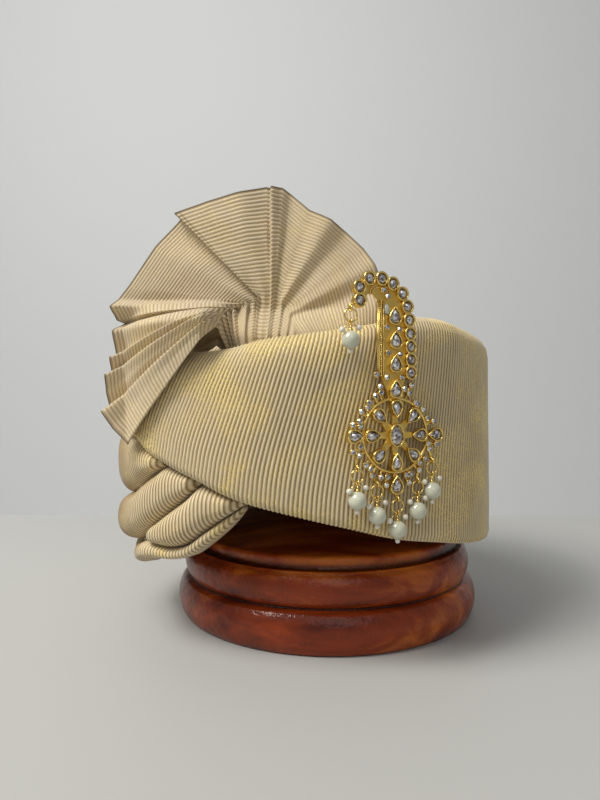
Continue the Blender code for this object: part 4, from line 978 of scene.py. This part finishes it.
def collet(kind, width, height, turn, spot):
    """A rubbed-over setting: its wall leans in a little, rolls over at the lip and drops to the floor."""
    layers = []
    for grown, share in ((1.9, 0.0), (2.1, 0.35), (2.1, 0.7), (1.9, 0.92), (1.5, 1.06), (1.0, 1.08),
                         (0.45, 0.98),
                         (0.12, 0.80), (0.0, 0.5)):
        layers.append((outline(kind, width + grown * BEZEL, height + grown * BEZEL, 40, turn, spot),
                       PLATE_BACK + 0.0001 + share * CUP_HEIGHT))
    return stacked(layers)


def cut_stone(kind, width, height, turn, spot):
    """A flat-backed rose cut: a low crown of facets up to a small sloping table."""
    seat = PLATE_BACK + STONE_SEAT
    layers = [(outline(kind, width * 0.98, height * 0.98, 12, turn, spot), seat + 0.0003),
              (outline(kind, width, height, 12, turn, spot), seat + 0.45 * STONE_HEIGHT),
              (outline(kind, width * 0.74, height * 0.74, 12, turn + 0.26, spot), seat + 0.78 * STONE_HEIGHT),
              (outline(kind, width * 0.42, height * 0.42, 12, turn, spot), seat + 0.98 * STONE_HEIGHT)]
    return stacked(layers)


def gold_finish(name, colour, dark, roughness, grit):
    """Gilt metal, darker in its concave corners by pointiness, with a fine uneven skin."""
    made, tree, shader, add = new_finish(name)
    place = add("ShaderNodeTexCoord").outputs["Object"]
    point = add("ShaderNodeNewGeometry").outputs["Pointiness"]
    cloud = add("ShaderNodeTexNoise", {"Vector": place, "Scale": 420.0, "Detail": 3.0})
    mixed = add("ShaderNodeMath", {0: cloud.outputs["Fac"], 1: 0.10, 2: point}, operation="MULTIPLY_ADD")
    shade = ramp(add, mixed.outputs[0], [(0.45, dark), (0.56, colour)])
    tree.links.new(shade, shader.inputs["Base Color"])
    bumps = add("ShaderNodeBump", {"Height": cloud.outputs["Fac"], "Strength": grit, "Distance": 0.0004})
    tree.links.new(bumps.outputs["Normal"], shader.inputs["Normal"])
    shader.inputs["Metallic"].default_value = 1.0
    shader.inputs["Roughness"].default_value = roughness
    return made


def glass_with_foil_and_painted_glints(name, scale, low, high):
    """Clear glass, foiled behind, under the gloss: each Voronoi cell gets its own grey from near black to
    near white, partly the crumpled foiling and partly painted glints and dark reflections standing in for
    what the facets mirror.
    """
    made, tree, shader, add = new_finish(name)
    place = add("ShaderNodeTexCoord").outputs["Object"]
    foil_and_glint_cells = add("ShaderNodeTexVoronoi", {"Vector": place, "Scale": scale})
    pick = add("ShaderNodeSeparateColor", {"Color": foil_and_glint_cells.outputs["Color"]}).outputs["Red"]
    # Painted glints and dark reflections: the cell greys stand in for what each facet would mirror, over the
    # foiling's own tone.
    tree.links.new(ramp(add, pick, [(0.1, low), (0.9, high)]), shader.inputs["Base Color"])
    tilt = add("ShaderNodeBump", {"Height": pick, "Strength": 0.5, "Distance": 0.0003})
    tree.links.new(tilt.outputs["Normal"], shader.inputs["Normal"])
    shader.inputs["Metallic"].default_value = 0.75
    shader.inputs["Roughness"].default_value = 0.10
    shader.inputs["Coat Weight"].default_value = 1.0
    shader.inputs["Coat Roughness"].default_value = 0.02
    return made


def pearl_finish(name, colour):
    made, tree, shader, add = new_finish(name)
    place = add("ShaderNodeTexCoord").outputs["Object"]
    cloud = add("ShaderNodeTexNoise", {"Vector": place, "Scale": 260.0, "Detail": 2.0})
    paler = tuple(min(1.0, 1.12 * part) for part in colour[:3]) + (1,)
    tree.links.new(ramp(add, cloud.outputs["Fac"], [(0.35, colour), (0.65, paler)]),
                   shader.inputs["Base Color"])
    shader.inputs["Roughness"].default_value = 0.20
    shader.inputs["Coat Weight"].default_value = 1.0
    shader.inputs["Coat Roughness"].default_value = 0.05
    shader.inputs["Sheen Weight"].default_value = 0.25
    return made


GOLD = gold_finish("bright_gilt", (0.83, 0.60, 0.19, 1), (0.22, 0.11, 0.02, 1), 0.20, 0.10)
OLD_GOLD = gold_finish("grained_gilt", (0.80, 0.56, 0.15, 1), (0.42, 0.25, 0.05, 1), 0.42, 0.9)
POLKI = glass_with_foil_and_painted_glints("foiled_glass_and_painted_glints", 900.0, (0.16, 0.13, 0.12, 1), (0.88, 0.86, 0.88, 1))
CHATON = glass_with_foil_and_painted_glints("rhinestone_glass_and_painted_glints", 1400.0, (0.10, 0.10, 0.12, 1), (0.95, 0.95, 0.97, 1))
PEARL = pearl_finish("pearl_coat", (0.50, 0.50, 0.37, 1))
SEED = pearl_finish("seed_bead_coat", (0.66, 0.62, 0.50, 1))
front = PLATE_BACK + PLATE_THICKNESS
stones = stone_table()

keys = smooth_through(np.array(STEM_LINE) * STEM_RISE, 60)
middle = keys[:, :2] + (0.0, MEDALLION_RADIUS)
ahead = np.gradient(middle, axis=0)
side = np.stack([-ahead[:, 1], ahead[:, 0]], axis=1)
side = side / np.hypot(*side.T)[:, None] * keys[:, 2:]
rows = np.stack([middle + side, middle - side], axis=1)
low = np.concatenate([rows, np.full(rows.shape[:2] + (1,), PLATE_BACK)], axis=-1)
high = np.concatenate([rows, np.full(rows.shape[:2] + (1,), front - 0.0002)], axis=-1)
plate = np.stack([low[:, 0], high[:, 0], high[:, 1], low[:, 1]], axis=1)
turn = np.arange(16) * math.pi / 8
reach = MEDALLION_RADIUS * np.where(np.arange(16) % 2 == 0, 0.99, 0.30)
star = np.stack([reach * np.cos(turn), reach * np.sin(turn)], axis=1)
plates = [(plate, False),
          stacked([(star, PLATE_BACK), (star, front - 0.0005), (star * 0.93, front - 0.0002)])]
piece("kalgi_plates", skins("kalgi_plates", plates, smooth=False), OLD_GOLD, "gold", "kalgi_frame")

gilt = [tube(circle(0, 0, PLATE_BACK + WIRE, MEDALLION_RADIUS, 120), 0.58 * WIRE, 12, joined=True)]
gilt += [collet(*row[1:]) for row in stones]
for u, v in np.array(RHINESTONES) * 0.001:
    cup = [outline("oval", 2 * size, 2 * size, 14, 0.0, (u, v)) for size in (0.0011, 0.0015, 0.0015, 0.00128)]
    gilt.append(stacked(list(zip(cup, (PLATE_BACK, front, front + 0.0010, front + 0.0012)))))
    inner = np.array([u, v]) / math.hypot(u, v) * MEDALLION_RADIUS * 0.97
    if v < 0.026:
        gilt.append(bar(inner, np.array([u, v]), 0.0013, PLATE_BACK + 0.0002, front - 0.0001))
for eye, anchor in ((np.array(row[:2]), np.array(row[2:])) for row in PEARL_DROPS):
    eye, anchor = eye * MEDALLION_RADIUS, anchor * MEDALLION_RADIUS
    hold = eye + np.array([0.0, EYE_RADIUS + 0.3 * EYE_WIRE])
    gilt.append(bar(anchor, hold, 0.0012, PLATE_BACK + 0.0004, front + 0.0003))
    oval_post = outline("oval", 0.0012, 0.0012, 10, 0.0, hold)
    gilt.append(stacked([(oval_post, n) for n in (PLATE_BACK + 0.0005, HANG_OFFSET + 0.0004)]))
    gilt.append(tube(circle(*eye, HANG_OFFSET, EYE_RADIUS, 20, upright=True), EYE_WIRE, 8, joined=True,
                     lean=(1.0, 0.0, 0.0)))
for way in ((-1.0, 0.0), (1.0, 0.0), (0.0, -1.0)):
    way = np.array(way) * MEDALLION_RADIUS
    gilt.append(bar(0.97 * way, 1.2 * way, 0.0024, PLATE_BACK + 0.0003, front - 0.0001))
low_edge, high_edge = MEDALLION_RADIUS + 0.19 * STEM_RISE, MEDALLION_RADIUS + 0.81 * STEM_RISE
edge = -0.147 * STEM_RISE
for shift, wire in ((-0.0010, 0.00040), (0.0011, 0.00045)):
    ends = np.linspace(low_edge, high_edge, 3)
    gilt.append(tube([(edge + shift, v, front + 0.0006) for v in ends], wire))
gilt.append(bar(np.array([edge, low_edge]), np.array([edge, high_edge]), 0.0028, PLATE_BACK + 0.0002,
                front + 0.0003))
gilt += [ball(edge, v, front + 0.0006, 0.00056, 7, 10) for v in np.arange(low_edge, high_edge, 0.00104)]
turn = np.linspace(0.35, 3.3, 30)
curl = np.array([-0.155, 0.865]) * STEM_RISE + (0.0, MEDALLION_RADIUS)
for size in (0.0052, 0.0038):
    for angle in turn:
        gilt.append(ball(curl[0] + size * math.cos(angle), curl[1] + 0.8 * size * math.sin(angle),
                         front + 0.0003, 0.00036, 6, 8))
for (u, v), (next_u, next_v) in zip(RIM_STONES[:-1], RIM_STONES[1:]):
    spot = np.array([0.5 * (u + next_u) - 0.025, 0.5 * (v + next_v)]) * STEM_RISE + (0.0, MEDALLION_RADIUS)
    gilt.append(ball(*spot, front + 0.0012, 0.00055, 7, 10))
piece("kalgi_settings", skins("kalgi_settings", gilt), GOLD, "gold", "kalgi_frame")

for name, kind, width, height, turn, spot in stones:
    piece(name + "_cut", skins(name + "_cut", [cut_stone(kind, width, height, turn, spot)], smooth=False),
          POLKI, "cut_stone", name)
chatons = []
for k, (u, v) in enumerate(np.array(RHINESTONES) * 0.001):
    layers = [(outline("oval", 2 * size * RHINESTONE, 2 * size * RHINESTONE, 8, 0.37 * k, (u, v)), front + n)
              for size, n in ((0.90, 0.0006), (1.0, 0.0012), (0.62, 0.00175))]
    chatons.append(stacked(layers))
piece("rhinestones", skins("rhinestones", chatons, smooth=False), CHATON, "cut_stone", "kalgi_frame")
pale = stacked([(outline("oval", w, h, 14, 0.15, (-0.0050, 0.0568)), n) for w, h, n in
                ((0.0030, 0.0048, front), (0.0030, 0.0048, front + 0.0008),
                 (0.0018, 0.0032, front + 0.0013))])
piece("pale_stem_stone", skins("pale_stem_stone", [pale]), PEARL, "cut_stone", "kalgi_frame")

for i, row in enumerate(PEARL_DROPS):
    seeds = []
    u, v = row[0] * MEDALLION_RADIUS, row[1] * MEDALLION_RADIUS
    ring = tube(circle(u, v - JUMP_RING_RADIUS, HANG_OFFSET, JUMP_RING_RADIUS, 48), JUMP_RING_WIRE, 10,
                joined=True)
    piece("jump_ring_%d_wire" % (i + 1), skins("jump_ring_%d_wire" % (i + 1), [ring]), GOLD, "gold",
          "jump_ring_%d" % (i + 1))
    loop_v = v - 2 * JUMP_RING_RADIUS
    pearl_v = loop_v - PEARL_RADIUS - PEARL_NECK - EYE_RADIUS
    loop = tube(circle(u, loop_v, HANG_OFFSET, EYE_RADIUS, 20, upright=True), EYE_WIRE * 0.8, 8, joined=True,
                lean=(1.0, 0.0, 0.0))
    neck = tube([(u, loop_v - EYE_RADIUS, HANG_OFFSET), (u, pearl_v + PEARL_RADIUS - 0.0003, HANG_OFFSET)],
                0.0004, 8)
    caps = [loop, neck, ball(u, pearl_v + PEARL_RADIUS + 0.0002, HANG_OFFSET, 0.0010, 6, 12)]
    for way in (-1.0, 1.0):
        bead_u, bead_v = u + way * 0.0041, pearl_v + 0.0049 + 0.0006 * way
        arm = [(u, loop_v - 0.0010, HANG_OFFSET), (u + way * 0.0022, pearl_v + 0.0066, HANG_OFFSET),
               (bead_u, bead_v, HANG_OFFSET)]
        caps.append(tube(arm, 0.00022, 6))
        seeds.append(ball(bead_u, bead_v, HANG_OFFSET, 0.00135, 10, 16))
    seeds.append(ball(u, pearl_v - PEARL_RADIUS - 0.0009, HANG_OFFSET, 0.00115, 10, 16))
    name = "pearl_drop_%d" % (i + 1)
    piece(name + "_pearl", skins(name + "_pearl", [ball(u, pearl_v, HANG_OFFSET, PEARL_RADIUS, 32, 48)]),
          PEARL, "pearl", name)
    piece(name + "_wires", skins(name + "_wires", caps), GOLD, "gold", name)
    piece(name + "_seeds", skins(name + "_seeds", seeds), SEED, "pearl", name)
pin_path = [(-0.02 * STEM_RISE, MEDALLION_RADIUS + share * STEM_RISE, 0.5 * PLATE_BACK)
            for share in (0.24, 0.43, 0.62)]
pin = tube(pin_path, 0.0007)
piece("brooch_pin_bar", skins("brooch_pin_bar", [pin]), GOLD, "gold", "brooch_pin")


# The photograph is taken from eye height at arm's length, before a pale wall, with the stand on a
# smooth off-white table. A large soft source hangs over the front left, and the room fills the rest.
WALL = (0.830, 0.830, 0.805, 1)
TABLE_TOP = (0.440, 0.436, 0.410, 1)


def plain_finish(name, colour, roughness):
    made, _, shader, _ = new_finish(name)
    shader.inputs["Base Color"].default_value = colour
    shader.inputs["Roughness"].default_value = roughness
    return made


def flat_stage(name, corners, finish):
    mesh = bpy.data.meshes.new(name)
    mesh.from_pydata(corners, [], [(0, 1, 2, 3)])
    mesh.materials.append(finish)
    made = bpy.data.objects.new(name, mesh)
    bpy.context.scene.collection.objects.link(made)


flat_stage("table", [(-3, -3, 0), (3, -3, 0), (3, 0.275, 0), (-3, 0.275, 0)],
           plain_finish("table_paint", TABLE_TOP, 0.55))
flat_stage("wall", [(-4, 2.2, -2), (4, 2.2, -2), (4, 2.2, 4), (-4, 2.2, 4)],
           plain_finish("wall_paint", WALL, 0.9))
flat_stage("floor", [(-4, -4, -0.8), (4, -4, -0.8), (4, 2.2, -0.8), (-4, 2.2, -0.8)],
           plain_finish("floor_paint", WALL, 0.9))


def soft_light(name, place, target, size, power, colour):
    lamp = bpy.data.lights.new(name, "AREA")
    lamp.shape = "DISK"
    lamp.size = size
    lamp.energy = power
    lamp.color = colour
    made = bpy.data.objects.new(name, lamp)
    bpy.context.scene.collection.objects.link(made)
    made.location = place
    look = Vector(target) - Vector(place)
    made.rotation_euler = look.to_track_quat("-Z", "Y").to_euler()


soft_light("key", (-0.95, -0.62, 1.35), (0, 0, 0.1), 0.7, 20.5, (1.0, 0.985, 0.96))
soft_light("fill", (0.2, -1.6, 1.1), (0, 0, 0.1), 1.2, 3.6, (0.98, 0.99, 1.0))
soft_light("wall_light", (-1.2, -0.6, 2.6), (0.1, 2.2, 0.5), 1.2, 40.0, (1.0, 1.0, 0.99))
world = bpy.data.worlds.new("room")
bpy.context.scene.world = world
world.use_nodes = True
world.node_tree.nodes["Background"].inputs["Color"].default_value = (0.93, 0.95, 1.0, 1)
world.node_tree.nodes["Background"].inputs["Strength"].default_value = 0.31

camera = bpy.data.objects.new("camera", bpy.data.cameras.new("camera"))
bpy.context.scene.collection.objects.link(camera)
bpy.context.scene.camera = camera
camera.location = (-0.01615, -0.380, 0.1256)
camera.rotation_euler = (math.pi / 2, 0, 0)
camera.data.lens = 27.0
camera.data.sensor_width = 36.0
camera.data.clip_start = 0.01
